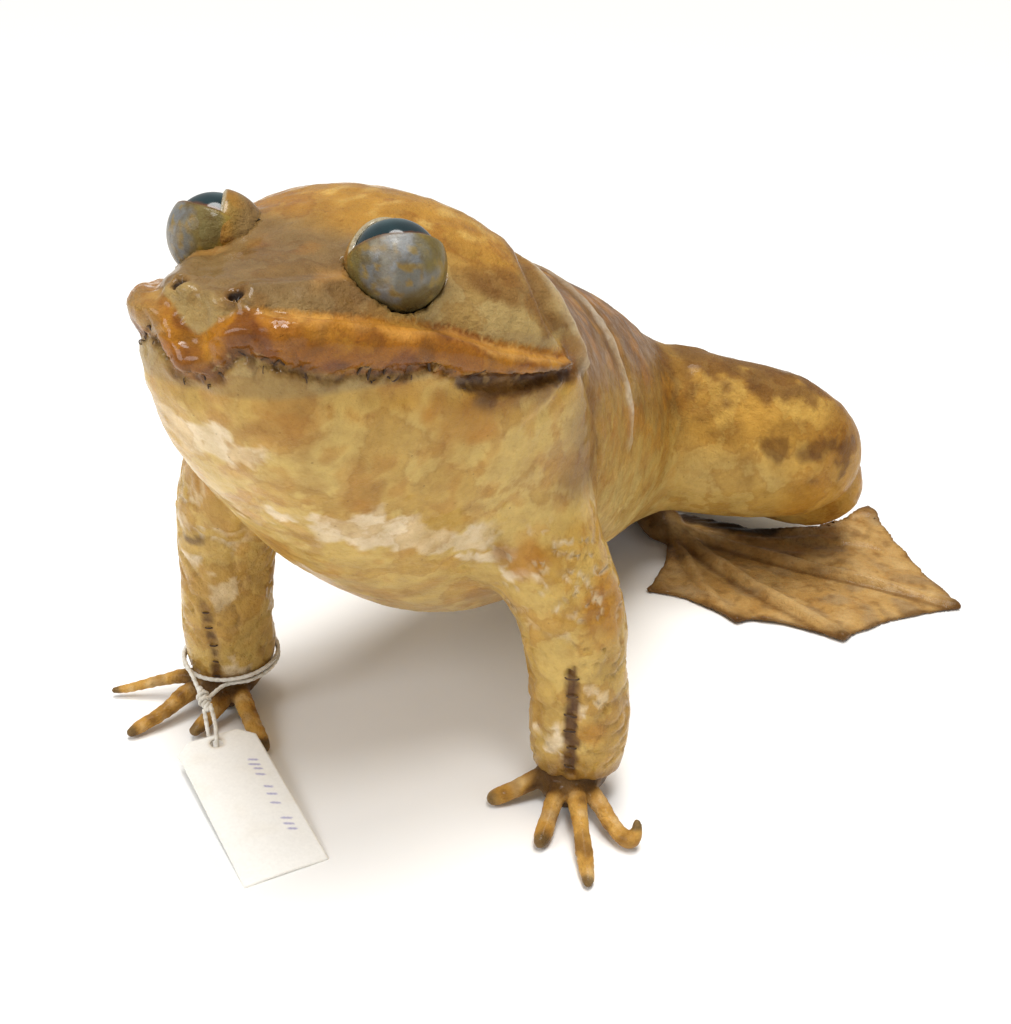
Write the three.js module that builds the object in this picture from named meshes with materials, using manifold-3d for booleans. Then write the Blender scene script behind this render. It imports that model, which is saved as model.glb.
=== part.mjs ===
// A stuffed bullfrog standing on its straight front arms, hind legs folded and webbed feet spread.
// Millimetres, +Z up. The frog looks along -Y and its left side is +X. The origin is on the
// surface it stands on, under the middle of the whole mount.
//
// The hide is a thin shell in natural panels, laid over a filling of tow. Wires anchored in a
// wood core run out through the limbs, and a strung paper tag hangs from the right wrist.
import * as THREE from 'three';
import Module from 'manifold-3d';
import { mergeVertices } from 'three/addons/utils/BufferGeometryUtils.js';

const wasm = await Module();
wasm.setup();

// ---- driving dimensions ----
const GAP = 0.3;                 // clearance between neighbouring pieces
const HIDE = 1.8;                // thickness of the dried, varnished hide
const WIRE = 2.4;                // diameter of the armature wires
const THREAD = 0.9;              // diameter of the sewing thread
const STRING = 1.0;              // diameter of the tag string
const EYE_RADIUS = 8.1;
const LEFT_EYE = [21, -85.5, 128];     // middles of the glass eyes, not quite alike
const RIGHT_EYE = [-19.3, -85.5, 127.7];
const LID = 0.7;                 // thickness of the lower eyelid
const MOUTH_FRONT = [-117.5, 112.6];   // Y and Z of the mouth line in the middle of the snout
const MOUTH_CORNER = [-56, 104];       // Y and Z of the mouth corners
const MOUTH_SLIT = 0.8;          // how far the dried lips stand apart
const WRIST_Z = 11;              // height at which the arm hide meets the hand
const TAG = { length: 48, width: 19, thickness: 0.5, holeRadius: 1.5, holeInset: 3, corner: 3.5 };
const TAG_HOLE = [-30.8, -84.6, 4.6];  // middle of the tag's hole, where it hangs on the string
const TAG_TURN = -33;                  // degrees from +X of the tag's length, seen from above
const TAG_LIFT = 0.1;                  // clearance between the tag's far edge and the floor
const KNOT = [-40.2, -76.6, 9.3];      // middle of the knot in the tag string
const KNOT_RADIUS = 1.7;
const TRUNK_SIDES = 20;          // multiples of four, so that each section has a lowest point
const HOLLOW_SIDES = 16;
const LIMB_SIDES = 12;

// Cross-sections of the head and trunk, from the snout back:
// Y, top, bottom, half width, height of the widest line.
const TRUNK = [
  [-117.4, 120, 108, 7, 114],
  [-114.5, 126, 103, 13.5, 115],
  [-110, 127.5, 93, 18, 114],
  [-104, 128, 84, 22.5, 112],
  [-95, 129, 72, 28.5, 109],
  [-85, 131, 60, 34.5, 107],
  [-75, 134, 51, 40, 105],
  [-64, 135.5, 42, 44, 103],
  [-55, 133.5, 36, 45.5, 99],
  [-45, 127, 31, 44, 88],
  [-30, 120, 27, 42, 77],
  [-12, 111.5, 22, 39, 69],
  [8, 103, 17, 36, 61],
  [35, 91, 12, 33, 51],
  [60, 76, 9.5, 29, 42],
  [78, 58, 13, 23, 36],
  [90, 43, 18, 15, 31],
  [96, 33, 24, 5, 28],
];

// Limb sections: X, Y, Z, half width, half height. The left limbs; the right ones mirror them.
const LEFT_ARM = [
  [24, -50, 78, 13, 16],
  [32.5, -51, 67, 13, 14.5],
  [39.5, -52, 56, 12, 13],
  [44.6, -52.5, 46, 11.4, 11.6],
  [46.6, -53, 34, 10.7, 10.8],
  [48, -53, 22, 11, 10.8],
  [48, -53, WRIST_Z, 10.4, 10],
];
// The right arm, written as a left one and then mirrored: it is fuller at the shoulder.
const OTHER_ARM = [
  [26, -50, 78, 15, 17],
  [38, -51, 67, 15, 15],
  [44, -52, 56, 13, 13],
  [46.5, -52.5, 46, 11.6, 11.6],
  [47.5, -53, 34, 10.8, 10.8],
  [48, -53, 22, 11, 10.8],
  [48, -53, WRIST_Z, 10.4, 10],
];
const RIGHT_ARM_SHIFT = [3, -7, 0];     // the right arm stands a little further forward and in
const THIGH = [
  [4, 56, 45, 20, 24],
  [22, 62, 44.5, 19, 24.5],
  [38, 69, 42, 19, 23.5],
  [51, 76, 40, 18, 22],
  [60, 80, 37.5, 14.5, 19],
  [67, 83, 36.5, 9.5, 13.5],
  [71, 85, 36, 4, 5],
];
const SHANK = [
  [70, 92, 27, 6, 8],
  [64, 96, 23, 11.5, 12.5],
  [53, 100, 19, 14, 14],
  [40, 102.5, 16.5, 13, 13],
  [26, 104.5, 13, 9.5, 10],
  [15, 105.5, 10.5, 7.5, 8],
];
const TARSUS = [
  [11.5, 106, 9.5, 6.6, 7.6],
  [7.5, 102, 8, 7, 8],
  [8, 95, 6.5, 6.5, 6.5],
  [13, 86, 5, 7, 5],
  [20, 77, 3.6, 7.5, 3.8],
];
// Toe tips of the left hind foot, inner to outer, and of the web between them.
const TOE_ROOT = [17, 82, 3];
const TOES = [[29.5, 41, 1.6], [57, 36, 1.6], [87.5, 43, 1.6], [113.2, 77, 1.8], [76, 117.5, 2.6]];
const WEB_DIP = 0.86;            // how far along the toes the web edge sags in between them
const WEB = 1.4;                 // thickness of the dried web
const TOE_RADIUS = [3.4, 1.2];   // at the root and at the tip
// Fingers of the left hand: knuckle and tip, outer to inner.
const PALM = [48, -56, 0];
const FINGERS = [
  [[57, -62, 5.5], [67, -67, 4.5]],
  [[54, -66, 6.5], [63.5, -80.5, 1.9]],
  [[48.5, -65, 6.5], [50, -75.5, 1.9]],
  [[42, -61, 6], [35.5, -67, 2]],
];
const RIGHT_FINGERS = [
  [[-54, -66, 6.5], [-67.5, -75, 2.2]],
  [[-49, -72, 6.5], [-52, -87, 1.9]],
  [[-39.8, -71.5, 5.5], [-40.5, -81, 1.9]],
  [[-37, -68, 6], [-23, -77, 2]],
];
const FINGER_RADIUS = [2.5, 1.5];
// Directions at the left eye: where it looks, which way the lower lid and the brow face.
const EYE_OUTWARD = [0.55, -0.2, 0.8];
const LID_FACE = [0.62, -0.45, -0.64];
const LID_REACH = -3.2;
const BROW_FACE = [-0.85, 0.4, -0.1];
const BROW_REACH = 3.8;
const BROW = 1.1;
const GLASS_BACK = 3;            // depth of the glass behind its middle
const CORE = [12, 80, 12];       // wood core: width, length, height
const CORE_MIDDLE = [0, 14, 64];
const CORE_SLOPE = -0.343;       // radians, the core falls towards the tail
// The armature wires. The arm wires also follow each arm's own elbow and wrist.
const ARM_WIRE_START = [[3, -20, 77], [20, -40, 74]];
const ARM_WIRE_BEND = [-6, 1, 12];     // from the elbow to the bend above it
const LEG_WIRE = [
  [3, 42, 54], [14, 56, 47], [32, 67, 43], [56, 77, 40], [70, 85, 37], [74, 91.5, 31],
  [66, 97, 24], [44, 102, 17.5], [24, 104.5, 12.5], [11, 105, 9.5], [8, 98, 7], [12, 88, 5],
];
const BACK_WIRE = [[0, -96, 119], [0, -78, 114], [0, -58, 103], [0, -38, 88], [0, -18, 77]];
const BACK_WIRE_STEPS = 12;
const JAW = 3.4;                 // thickness of the lower jaw bone
const JAW_DROP = 2.6;            // how far the jaw bone lies below the mouth line
const JAW_STEPS = 26;
const LEFT_JAW = [[40, -58], [38, -68], [33, -78], [25, -90], [16, -101], [7, -109]];   // X and Y
const SKULL_ABOVE = 3;           // above the mouth line
const THROAT_BELOW = 5;          // below the mouth line
// A hand between wrist and palm: heights and half sizes of its sections.
const HAND_BEND = { drop: 3, wide: 10, high: 9.5 };
const PALM_SECTION = { height: 3, wide: 10.4, high: 9.8 };
const FINGER_ROOT = { back: 2, height: 4, radius: 3.2 };
const ROUND_SIDES = 8;           // sides of fingers, toes and string
const THREAD_SIDES = 5;
const STITCH_REACH = 1.8;        // how far a stitch reaches from its seam
const MOUTH_STITCHES = 16;
const BELLY_STITCHES = 12;
const BELLY_SEAM = [-38, 34];    // Y of the first and last belly stitch
const ARM_STITCHES = 7;
const ARM_SEAM = [34, 13];       // Z of the first and last forearm stitch
const ARM_SEAM_RADIUS = 10.9;
const SEAM_TURN = -1.22;         // direction the forearm seams face, radians from +X
const ARM_LEAN = -0.022;         // how the forearm leans inward with height
const STITCH_SLANT = 0.12;       // radians round the forearm from one end of a stitch to its middle
const LOOP = { from: 210, to: -420, radius: 11.7, low: 10, tilt: 0.6, pitch: 1.4 };
// The lead in the plane of the tag's length: along it, up, and aside, from the hole.
const LEAD = [
  [-10.7, 4.0, -2.2], [-6.5, 3.2, -1.6], [-2.6, 2.2, -0.8], [0, 0, 0], [1.5, -2.1, 0.3], [0.6, -3.6, 0.5],
  [-2, -3.4, 0.6], [-4.1, -1.2, 0.5], [-6.4, 1.0, 0.2], [-10.6, 3.0, -0.6],
];
const LOOP_STEP = 30;            // degrees between the points of the loop's course
const LOOP_LENGTH_STEPS = 48;
const LEAD_STEPS = 24;
const NECK_Y = -54;              // where the trunk filling ends and the head begins
const ARM_WIRE_STEPS = 12;
const LEG_WIRE_STEPS = 22;
const WIRE_SIDES = 6;
const REACH = 150;               // further than the mount extends, for cutters
const THINNEST = 0.6;            // least radius of a limb section that is being shrunk

// ---- solids ----
function solid(geometry) {
  const bare = geometry.clone();
  bare.deleteAttribute('normal');
  bare.deleteAttribute('uv');
  const merged = mergeVertices(bare, 1e-4);
  return new wasm.Manifold(new wasm.Mesh({
    numProp: 3,
    vertProperties: new Float32Array(merged.attributes.position.array),
    triVerts: new Uint32Array(merged.index.array),
  }));
}

// A closed skin over rings of equal point counts, each end closed by a fan.
function loft(rings) {
  const sides = rings[0].length;
  const points = rings.flat();
  const index = [];
  for (let ring = 0; ring < rings.length - 1; ring += 1) {
    for (let side = 0; side < sides; side += 1) {
      const a = ring * sides + side;
      const b = ring * sides + (side + 1) % sides;
      index.push(a, b, a + sides, b, b + sides, a + sides);
    }
  }
  for (const [ring, flip] of [[0, true], [rings.length - 1, false]]) {
    const middle = rings[ring].reduce((sum, p) => sum.add(p), new THREE.Vector3());
    points.push(middle.divideScalar(sides));
    for (let side = 0; side < sides; side += 1) {
      const a = ring * sides + side;
      const b = ring * sides + (side + 1) % sides;
      index.push(points.length - 1, flip ? b : a, flip ? a : b);
    }
  }
  const geometry = new THREE.BufferGeometry();
  geometry.setFromPoints(points);
  geometry.setIndex(index);
  return geometry;
}

// One cross-section of the trunk, grown outward by `grow` (inward when negative).
function trunkRing([y, top, bottom, half, wide], grow, sides) {
  const ring = [];
  const halfLength = (TRUNK.at(-1)[0] - TRUNK[0][0]) / 2;
  const middleY = (TRUNK.at(-1)[0] + TRUNK[0][0]) / 2;
  const placedY = middleY + (y - middleY) * (1 + grow / halfLength);
  const width = Math.max(half + grow, 1);
  const up = Math.max(top + grow - wide, 1);
  const down = Math.max(wide - bottom + grow, 1);
  for (let side = 0; side < sides; side += 1) {
    const angle = -2 * Math.PI * side / sides;
    const height = Math.sin(angle) > 0 ? up : down;
    ring.push(new THREE.Vector3(width * Math.cos(angle), placedY, wide + height * Math.sin(angle)));
  }
  return ring;
}

function trunkSolid(grow) {
  const sides = grow < 0 ? HOLLOW_SIDES : TRUNK_SIDES;
  return solid(loft(TRUNK.map((section) => trunkRing(section, grow, sides))));
}

// A limb as a loft through sections square to its middle line.
// `grow` thickens it, and `start` and `reach` move its first and last section outward.
function limbGeometry(sections, grow, { sides = LIMB_SIDES, start = grow, reach = grow } = {}) {
  const centres = sections.map(([x, y, z]) => new THREE.Vector3(x, y, z));
  const course = centres.at(-1).clone().sub(centres[0]).normalize();
  const steep = Math.abs(course.z) > 0.6;
  const hint = steep ? new THREE.Vector3(0, -1, 0) : new THREE.Vector3(0, 0, 1);
  const rings = sections.map(([, , , wide, high], i) => {
    const next = centres[Math.min(i + 1, centres.length - 1)];
    const back = centres[Math.max(i - 1, 0)];
    const along = next.clone().sub(back).normalize();
    const side = new THREE.Vector3().crossVectors(along, hint).normalize();
    const up = new THREE.Vector3().crossVectors(side, along);
    const ends = { 0: -start, [sections.length - 1]: reach };
    const centre = centres[i].clone().addScaledVector(along, ends[i] ?? 0);
    const ring = [];
    for (let k = 0; k < sides; k += 1) {
      const angle = -2 * Math.PI * k / sides;
      ring.push(centre.clone()
        .addScaledVector(side, Math.max(wide + grow, THINNEST) * Math.cos(angle))
        .addScaledVector(up, Math.max(high + grow, THINNEST) * Math.sin(angle)));
    }
    return ring;
  });
  return loft(rings);
}

function limb(sections, grow = 0, options = {}) {
  return solid(limbGeometry(sections, grow, options));
}

// A round bar along a smooth curve through the given points.
function bar(points, diameter, steps, sides = WIRE_SIDES) {
  const curve = new THREE.CatmullRomCurve3(points.map((p) => new THREE.Vector3(...p)));
  const section = new THREE.Shape();
  for (let side = 0; side < sides; side += 1) {
    const angle = 2 * Math.PI * side / sides;
    const place = [0.5 * diameter * Math.cos(angle), 0.5 * diameter * Math.sin(angle)];
    if (side === 0) section.moveTo(...place);
    else section.lineTo(...place);
  }
  return new THREE.ExtrudeGeometry(section, { steps, extrudePath: curve, bevelEnabled: false });
}

// A box between two corners, as a cutter.
function block([x0, y0, z0], [x1, y1, z1]) {
  const box = new THREE.BoxGeometry(x1 - x0, y1 - y0, z1 - z0);
  box.translate((x0 + x1) / 2, (y0 + y1) / 2, (z0 + z1) / 2);
  return solid(box);
}

function ball(radius, [x, y, z], around = 14, over = 8) {
  const sphere = new THREE.SphereGeometry(radius, around, over);
  sphere.translate(x, y, z);
  return solid(sphere);
}

// Height of the mouth line at a given Y.
function mouthHeight(y) {
  const share = (y - MOUTH_FRONT[0]) / (MOUTH_CORNER[0] - MOUTH_FRONT[0]);
  return MOUTH_FRONT[1] + share * (MOUTH_CORNER[1] - MOUTH_FRONT[1]);
}

function mirrored(sections, shift = [0, 0, 0]) {
  return sections.map(([x, y, z, ...rest]) => [-x + shift[0], y + shift[1], z + shift[2], ...rest]);
}

// ---- the model ----
const frog = new THREE.Group();

function add(name, shape, colour, roughness, metalness = 0) {
  let geometry = shape;
  if (shape instanceof wasm.Manifold) {
    const mesh = shape.getMesh();
    geometry = new THREE.BufferGeometry();
    geometry.setAttribute('position', new THREE.BufferAttribute(mesh.vertProperties, mesh.numProp));
    geometry.setIndex(new THREE.BufferAttribute(mesh.triVerts, 1));
  }
  const material = new THREE.MeshStandardMaterial({ color: colour, roughness, metalness });
  const node = new THREE.Mesh(geometry, material);
  node.name = name;
  frog.add(node);
  return node;
}

// A slab parallel to the mouth, between two heights above the mouth line and two Y values.
function mouthSlab(low, high, yFrom, yTo) {
  const rise = MOUTH_CORNER[1] - MOUTH_FRONT[1];
  const run = MOUTH_CORNER[0] - MOUTH_FRONT[0];
  const box = new THREE.BoxGeometry(2 * REACH, yTo - yFrom, high - low);
  box.translate(0, (yFrom + yTo) / 2 - MOUTH_FRONT[0], (low + high) / 2);
  box.rotateX(Math.atan2(rise, run));
  box.translate(0, MOUTH_FRONT[0], MOUTH_FRONT[1]);
  return solid(box);
}

// Everything of a ball's surroundings on the far side of a plane square to `direction`.
function beyond([x, y, z], direction, distance) {
  const box = new THREE.BoxGeometry(2 * REACH, 2 * REACH, REACH);
  box.translate(0, 0, REACH / 2 + distance);
  const turn = new THREE.Quaternion().setFromUnitVectors(
    new THREE.Vector3(0, 0, 1), new THREE.Vector3(...direction).normalize());
  box.applyQuaternion(turn);
  box.translate(x, y, z);
  return solid(box);
}

const SIDES = [
  { name: 'left', flip: 1, eye: LEFT_EYE, arm: LEFT_ARM, fingers: FINGERS, palm: PALM },
  {
    name: 'right', flip: -1, eye: RIGHT_EYE, arm: mirrored(OTHER_ARM, RIGHT_ARM_SHIFT),
    fingers: RIGHT_FINGERS, palm: mirrored([PALM], RIGHT_ARM_SHIFT)[0],
  },
];
const flipped = (sections, flip) => (flip > 0 ? sections : mirrored(sections));

const trunkOuter = trunkSolid(0);
const trunkClear = trunkSolid(GAP);
const floor = block([-REACH, -REACH, -REACH], [REACH, REACH, 0]);

// wires
for (const side of SIDES) {
  const wrist = side.arm.at(-1);
  const elbow = side.arm.at(-3);
  const bend = ARM_WIRE_BEND;
  side.armWire = [
    ...flipped(ARM_WIRE_START, side.flip),
    [elbow[0] + side.flip * bend[0], elbow[1] + bend[1], elbow[2] + bend[2]],
    [elbow[0], elbow[1], elbow[2]],
    [wrist[0], wrist[1], 2 * WRIST_Z],
    [side.palm[0], side.palm[1], 2 * WIRE],
  ];
  side.legWire = flipped(LEG_WIRE, side.flip);
  side.wireRoom = solid(bar(side.armWire, WIRE + 2 * GAP, ARM_WIRE_STEPS))
    .add(solid(bar(side.legWire, WIRE + 2 * GAP, LEG_WIRE_STEPS)));
}
const backWireRoom = solid(bar(BACK_WIRE, WIRE + 2 * GAP, BACK_WIRE_STEPS));
const allWires = SIDES[0].wireRoom.add(SIDES[1].wireRoom).add(backWireRoom);

// hides of the limbs, cut where they meet the trunk, and their fillings
let limbOpenings = null;
for (const side of SIDES) {
  const thigh = flipped(THIGH, side.flip);
  const shank = flipped(SHANK, side.flip);
  const armHollow = limb(side.arm, -HIDE, { reach: 1 });
  const thighHollow = limb(thigh, -HIDE);
  const shankHollow = limb(shank, -HIDE, { reach: 1, start: -HIDE });
  const thighRoom = limb(thigh, GAP);
  const openings = armHollow.add(thighHollow);
  limbOpenings = limbOpenings ? limbOpenings.add(openings) : openings;

  add(`${side.name}_arm_skin`,
    limb(side.arm).subtract(armHollow).subtract(trunkClear), '#c79a52', 0.4);
  add(`${side.name}_thigh_skin`,
    limb(thigh).subtract(thighHollow).subtract(trunkClear).subtract(side.wireRoom), '#b98a44', 0.4);
  add(`${side.name}_shank_skin`,
    limb(shank).subtract(shankHollow).subtract(thighRoom).subtract(trunkClear)
      .subtract(side.wireRoom), '#a87a3c', 0.4);

  const inset = -HIDE - GAP;
  add(`${side.name}_arm_filling`,
    limb(side.arm, inset).subtract(trunkClear).subtract(side.wireRoom),
    '#b7a06c', 0.95);
  add(`${side.name}_thigh_filling`,
    limb(thigh, inset).subtract(trunkClear).subtract(side.wireRoom),
    '#b7a06c', 0.95);
  add(`${side.name}_shank_filling`,
    limb(shank, inset).subtract(thighRoom).subtract(trunkClear)
      .subtract(side.wireRoom), '#b7a06c', 0.95);
  add(`${side.name}_arm_wire`, bar(side.armWire, WIRE, ARM_WIRE_STEPS), '#77706a', 0.5, 0.8);
  add(`${side.name}_leg_wire`, bar(side.legWire, WIRE, LEG_WIRE_STEPS), '#77706a', 0.5, 0.8);
}

// eyes: a glass dome on a putty bed, an upper lid that is part of the head hide, a lower lid
let sockets = null;
let upperLids = null;
let lidRooms = null;
for (const side of SIDES) {
  const middle = side.eye;
  const facing = ([x, y, z]) => [side.flip * x, y, z];
  const inward = facing(EYE_OUTWARD).map((value) => -value);
  const glass = ball(EYE_RADIUS, middle);
  const socket = ball(EYE_RADIUS + GAP, middle);
  const lidOuter = ball(EYE_RADIUS + GAP + LID, middle);
  sockets = sockets ? sockets.add(socket) : socket;
  add(`${side.name}_glass_eye`, glass.subtract(beyond(middle, inward, GLASS_BACK)),
    '#22363d', 0.08);
  add(`${side.name}_eye_putty`,
    ball(EYE_RADIUS - 0.5, middle).intersect(beyond(middle, inward, GLASS_BACK + GAP)),
    '#cfc6ae', 0.9);
  add(`${side.name}_lower_eyelid`,
    lidOuter.subtract(socket).intersect(beyond(middle, facing(LID_FACE), LID_REACH))
      .subtract(trunkClear),
    '#6d7466', 0.35);
  const brow = ball(EYE_RADIUS + GAP + BROW, middle)
    .intersect(beyond(middle, facing(BROW_FACE), BROW_REACH));
  upperLids = upperLids ? upperLids.add(brow) : brow;
  const lidRoom = ball(EYE_RADIUS + GAP + LID + GAP, middle)
    .intersect(beyond(middle, facing(LID_FACE), LID_REACH - GAP));
  lidRooms = lidRooms ? lidRooms.add(lidRoom) : lidRoom;
}

// head and trunk hide: one shell, open at the mouth, the eyes and the limbs
add('head_and_trunk_skin',
  trunkOuter.add(upperLids.subtract(sockets).subtract(lidRooms))
    .subtract(trunkSolid(-HIDE)).subtract(limbOpenings).subtract(sockets)
    .subtract(mouthSlab(-MOUTH_SLIT / 2, MOUTH_SLIT / 2, -REACH, MOUTH_CORNER[0])),
  '#b8893f', 0.38);

// inside of the head and trunk
const inside = trunkSolid(-HIDE - GAP);
function woodCore(grow) {
  const box = new THREE.BoxGeometry(...CORE.map((size) => size + 2 * grow));
  box.rotateX(CORE_SLOPE);
  box.translate(...CORE_MIDDLE);
  return solid(box);
}

add('wood_core', woodCore(0).subtract(allWires), '#b08d57', 0.8);
add('trunk_filling',
  inside.subtract(block([-REACH, -REACH, -REACH], [REACH, NECK_Y, REACH]))
    .subtract(woodCore(GAP)).subtract(allWires), '#b7a06c', 0.95);
add('skull',
  inside.intersect(mouthSlab(SKULL_ABOVE, REACH, -REACH, NECK_Y - GAP)).subtract(sockets)
    .subtract(block([-REACH, NECK_Y - GAP, 0], [REACH, REACH, REACH]))
    .subtract(backWireRoom), '#d8cba4', 0.8);
add('throat_filling',
  inside.intersect(mouthSlab(-REACH, -THROAT_BELOW, -REACH, NECK_Y - GAP))
    .subtract(block([-REACH, NECK_Y - GAP, 0], [REACH, REACH, REACH])).subtract(backWireRoom),
  '#b7a06c', 0.95);
const jawLine = [...LEFT_JAW, [0, -111], ...LEFT_JAW.map(([x, y]) => [-x, y]).reverse()]
  .map(([x, y]) => [x, y, mouthHeight(y) - JAW_DROP]);
add('lower_jaw_bone', bar(jawLine, JAW, JAW_STEPS), '#d8cba4', 0.8);
add('back_wire', bar(BACK_WIRE, WIRE, BACK_WIRE_STEPS), '#77706a', 0.5, 0.8);

// hands and feet, flat underneath
for (const side of SIDES) {
  const wrist = side.arm.at(-1);
  const [palmX, palmY] = side.palm;
  let hand = limb([
    [wrist[0], wrist[1], WRIST_Z - GAP, wrist[3] - 2 * GAP, wrist[4] - 2 * GAP],
    [wrist[0], wrist[1], WRIST_Z - HAND_BEND.drop, HAND_BEND.wide, HAND_BEND.high],
    [palmX, palmY, PALM_SECTION.height, PALM_SECTION.wide, PALM_SECTION.high],
    [palmX, palmY, -PALM_SECTION.height, PALM_SECTION.wide, PALM_SECTION.high],
  ]);
  for (const [knuckle, tip] of side.fingers) {
    hand = hand.add(limb([
      [palmX, palmY - FINGER_ROOT.back, FINGER_ROOT.height, FINGER_ROOT.radius, FINGER_ROOT.radius],
      [...knuckle, FINGER_RADIUS[0], FINGER_RADIUS[0]],
      [...tip, FINGER_RADIUS[1], FINGER_RADIUS[1]],
    ], 0, { sides: ROUND_SIDES }));
  }
  add(`${side.name}_hand`, hand.subtract(floor).subtract(side.wireRoom), '#8a5f28', 0.5);

  const tips = TOES.map((tip) => new THREE.Vector2(side.flip * tip[0], tip[1]));
  const root = new THREE.Vector2(side.flip * TOE_ROOT[0], TOE_ROOT[1]);
  const web = new THREE.Shape();
  web.moveTo(root.x, root.y);
  web.lineTo(tips[0].x, tips[0].y);
  for (let toe = 1; toe < tips.length; toe += 1) {
    const between = tips[toe - 1].clone().lerp(tips[toe], 0.5);
    const dip = root.clone().lerp(between, WEB_DIP);
    web.quadraticCurveTo(dip.x, dip.y, tips[toe].x, tips[toe].y);
  }
  web.closePath();
  const sheet = new THREE.ExtrudeGeometry(web, { depth: 2 * WEB, bevelEnabled: false, curveSegments: 5 });
  sheet.translate(0, 0, -WEB);
  let foot = solid(sheet);
  for (const tip of TOES) {
    const end = [side.flip * tip[0], tip[1], tip[2]];
    const start = [root.x, root.y, TOE_ROOT[2]];
    const middle = start.map((value, k) => 0.5 * (value + end[k]) + (k === 2 ? 0.6 : 0));
    const midRadius = 0.5 * (TOE_RADIUS[0] + TOE_RADIUS[1]);
    foot = foot.add(limb([
      [...start, TOE_RADIUS[0], TOE_RADIUS[0]],
      [...middle, midRadius, midRadius],
      [...end, TOE_RADIUS[1], TOE_RADIUS[1]],
    ], 0, { sides: ROUND_SIDES }));
  }
  foot = foot.add(limb(flipped(TARSUS, side.flip)));
  const shankRoom = limb(flipped(SHANK, side.flip), GAP);
  add(`${side.name}_hind_foot`,
    foot.subtract(floor).subtract(trunkClear).subtract(shankRoom).subtract(side.wireRoom),
    '#8f6c38', 0.6);
}

// ---- sewing threads, each one length of thread laid over its seam in slanting stitches ----
function trunkRow(y) {
  const next = TRUNK.findIndex((row) => row[0] > y);
  const share = (y - TRUNK[next - 1][0]) / (TRUNK[next][0] - TRUNK[next - 1][0]);
  return TRUNK[next].map((value, k) => TRUNK[next - 1][k] + share * (value - TRUNK[next - 1][k]));
}

const OFF_HIDE = THREAD / 2 + GAP;

// Round the mouth from corner to corner, a little outside the lips.
function mouthStitches() {
  const lips = TRUNK.filter((row) => row[0] < MOUTH_CORNER[0] - 2)
    .map((row) => [row[3] + OFF_HIDE + 0.6, row[0] - 0.5]);
  const nose = [3, TRUNK[0][0] - OFF_HIDE - 0.3];
  const half = [...lips.slice(1).reverse(), [lips[0][0], nose[1]], nose];
  const outline = [...half, ...half.map(([x, y]) => [-x, y]).reverse()];
  const line = new THREE.CatmullRomCurve3(outline.map(([x, y]) => new THREE.Vector3(x, y, 0)));
  const points = [];
  for (let stitch = 0; stitch < MOUTH_STITCHES; stitch += 1) {
    for (const end of [1, -1]) {
      const place = line.getPointAt((stitch + 0.5 - end * 0.25) / MOUTH_STITCHES);
      points.push([place.x, place.y, mouthHeight(place.y) + end * STITCH_REACH]);
    }
  }
  return bar(points, THREAD, 2 * points.length, THREAD_SIDES);
}

// Up the front of a forearm.
function armStitches(arm, flip) {
  const wrist = arm.at(-1);
  const points = [];
  for (let stitch = 0; stitch < ARM_STITCHES; stitch += 1) {
    for (const end of [1, -1]) {
      const height = ARM_SEAM[0] + (ARM_SEAM[1] - ARM_SEAM[0]) * (stitch - end * 0.2) / ARM_STITCHES;
      const turn = SEAM_TURN + end * STITCH_SLANT;
      const radius = ARM_SEAM_RADIUS + OFF_HIDE;
      const lean = flip * ARM_LEAN * (height - wrist[2]);
      points.push([wrist[0] + lean + radius * Math.cos(turn), wrist[1] + radius * Math.sin(turn), height]);
    }
  }
  return bar(points, THREAD, 2 * points.length, THREAD_SIDES);
}

// Along the middle of the belly.
function bellyStitches() {
  const points = [];
  for (let stitch = 0; stitch < BELLY_STITCHES; stitch += 1) {
    for (const end of [1, -1]) {
      const y = BELLY_SEAM[0] + (BELLY_SEAM[1] - BELLY_SEAM[0]) * (stitch - end * 0.2) / BELLY_STITCHES;
      points.push([end * STITCH_REACH, y, trunkRow(y)[2] - OFF_HIDE + 0.15]);
    }
  }
  return bar(points, THREAD, 2 * points.length, THREAD_SIDES);
}

add('mouth_seam_thread', mouthStitches(), '#4a3017', 0.7);
add('belly_seam_thread', bellyStitches(), '#4a3017', 0.7);
for (const side of SIDES) {
  add(`${side.name}_arm_seam_thread`, armStitches(side.arm, side.flip), '#4a3017', 0.7);
}

// ---- the strung tag ----
// Two turns of string round the right wrist, from one side of the knot to the other.
const loopMiddle = SIDES[1].arm.at(-1);
const loopPath = [[KNOT[0] - 2.1, KNOT[1] + 0.6, KNOT[2] + 0.9], [-45.6, -73.8, 11.4]];
for (let turn = LOOP.from; turn >= LOOP.to; turn -= LOOP_STEP) {
  const angle = THREE.MathUtils.degToRad(turn);
  loopPath.push([
    loopMiddle[0] + LOOP.radius * Math.cos(angle),
    loopMiddle[1] + LOOP.radius * Math.sin(angle),
    LOOP.low + LOOP.tilt * (1 + Math.sin(angle)) + LOOP.pitch * (turn - LOOP.to) / 360,
  ]);
}
loopPath.push([KNOT[0] + 1.4, KNOT[1] + 1.6, KNOT[2] + 0.4]);
add('tag_string_loop', bar(loopPath, STRING, LOOP_LENGTH_STEPS, ROUND_SIDES), '#ece8df', 0.9);

const knot = new THREE.SphereGeometry(KNOT_RADIUS, 10, 8);
knot.translate(...KNOT);
add('tag_string_knot', knot, '#ece8df', 0.9);

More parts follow.
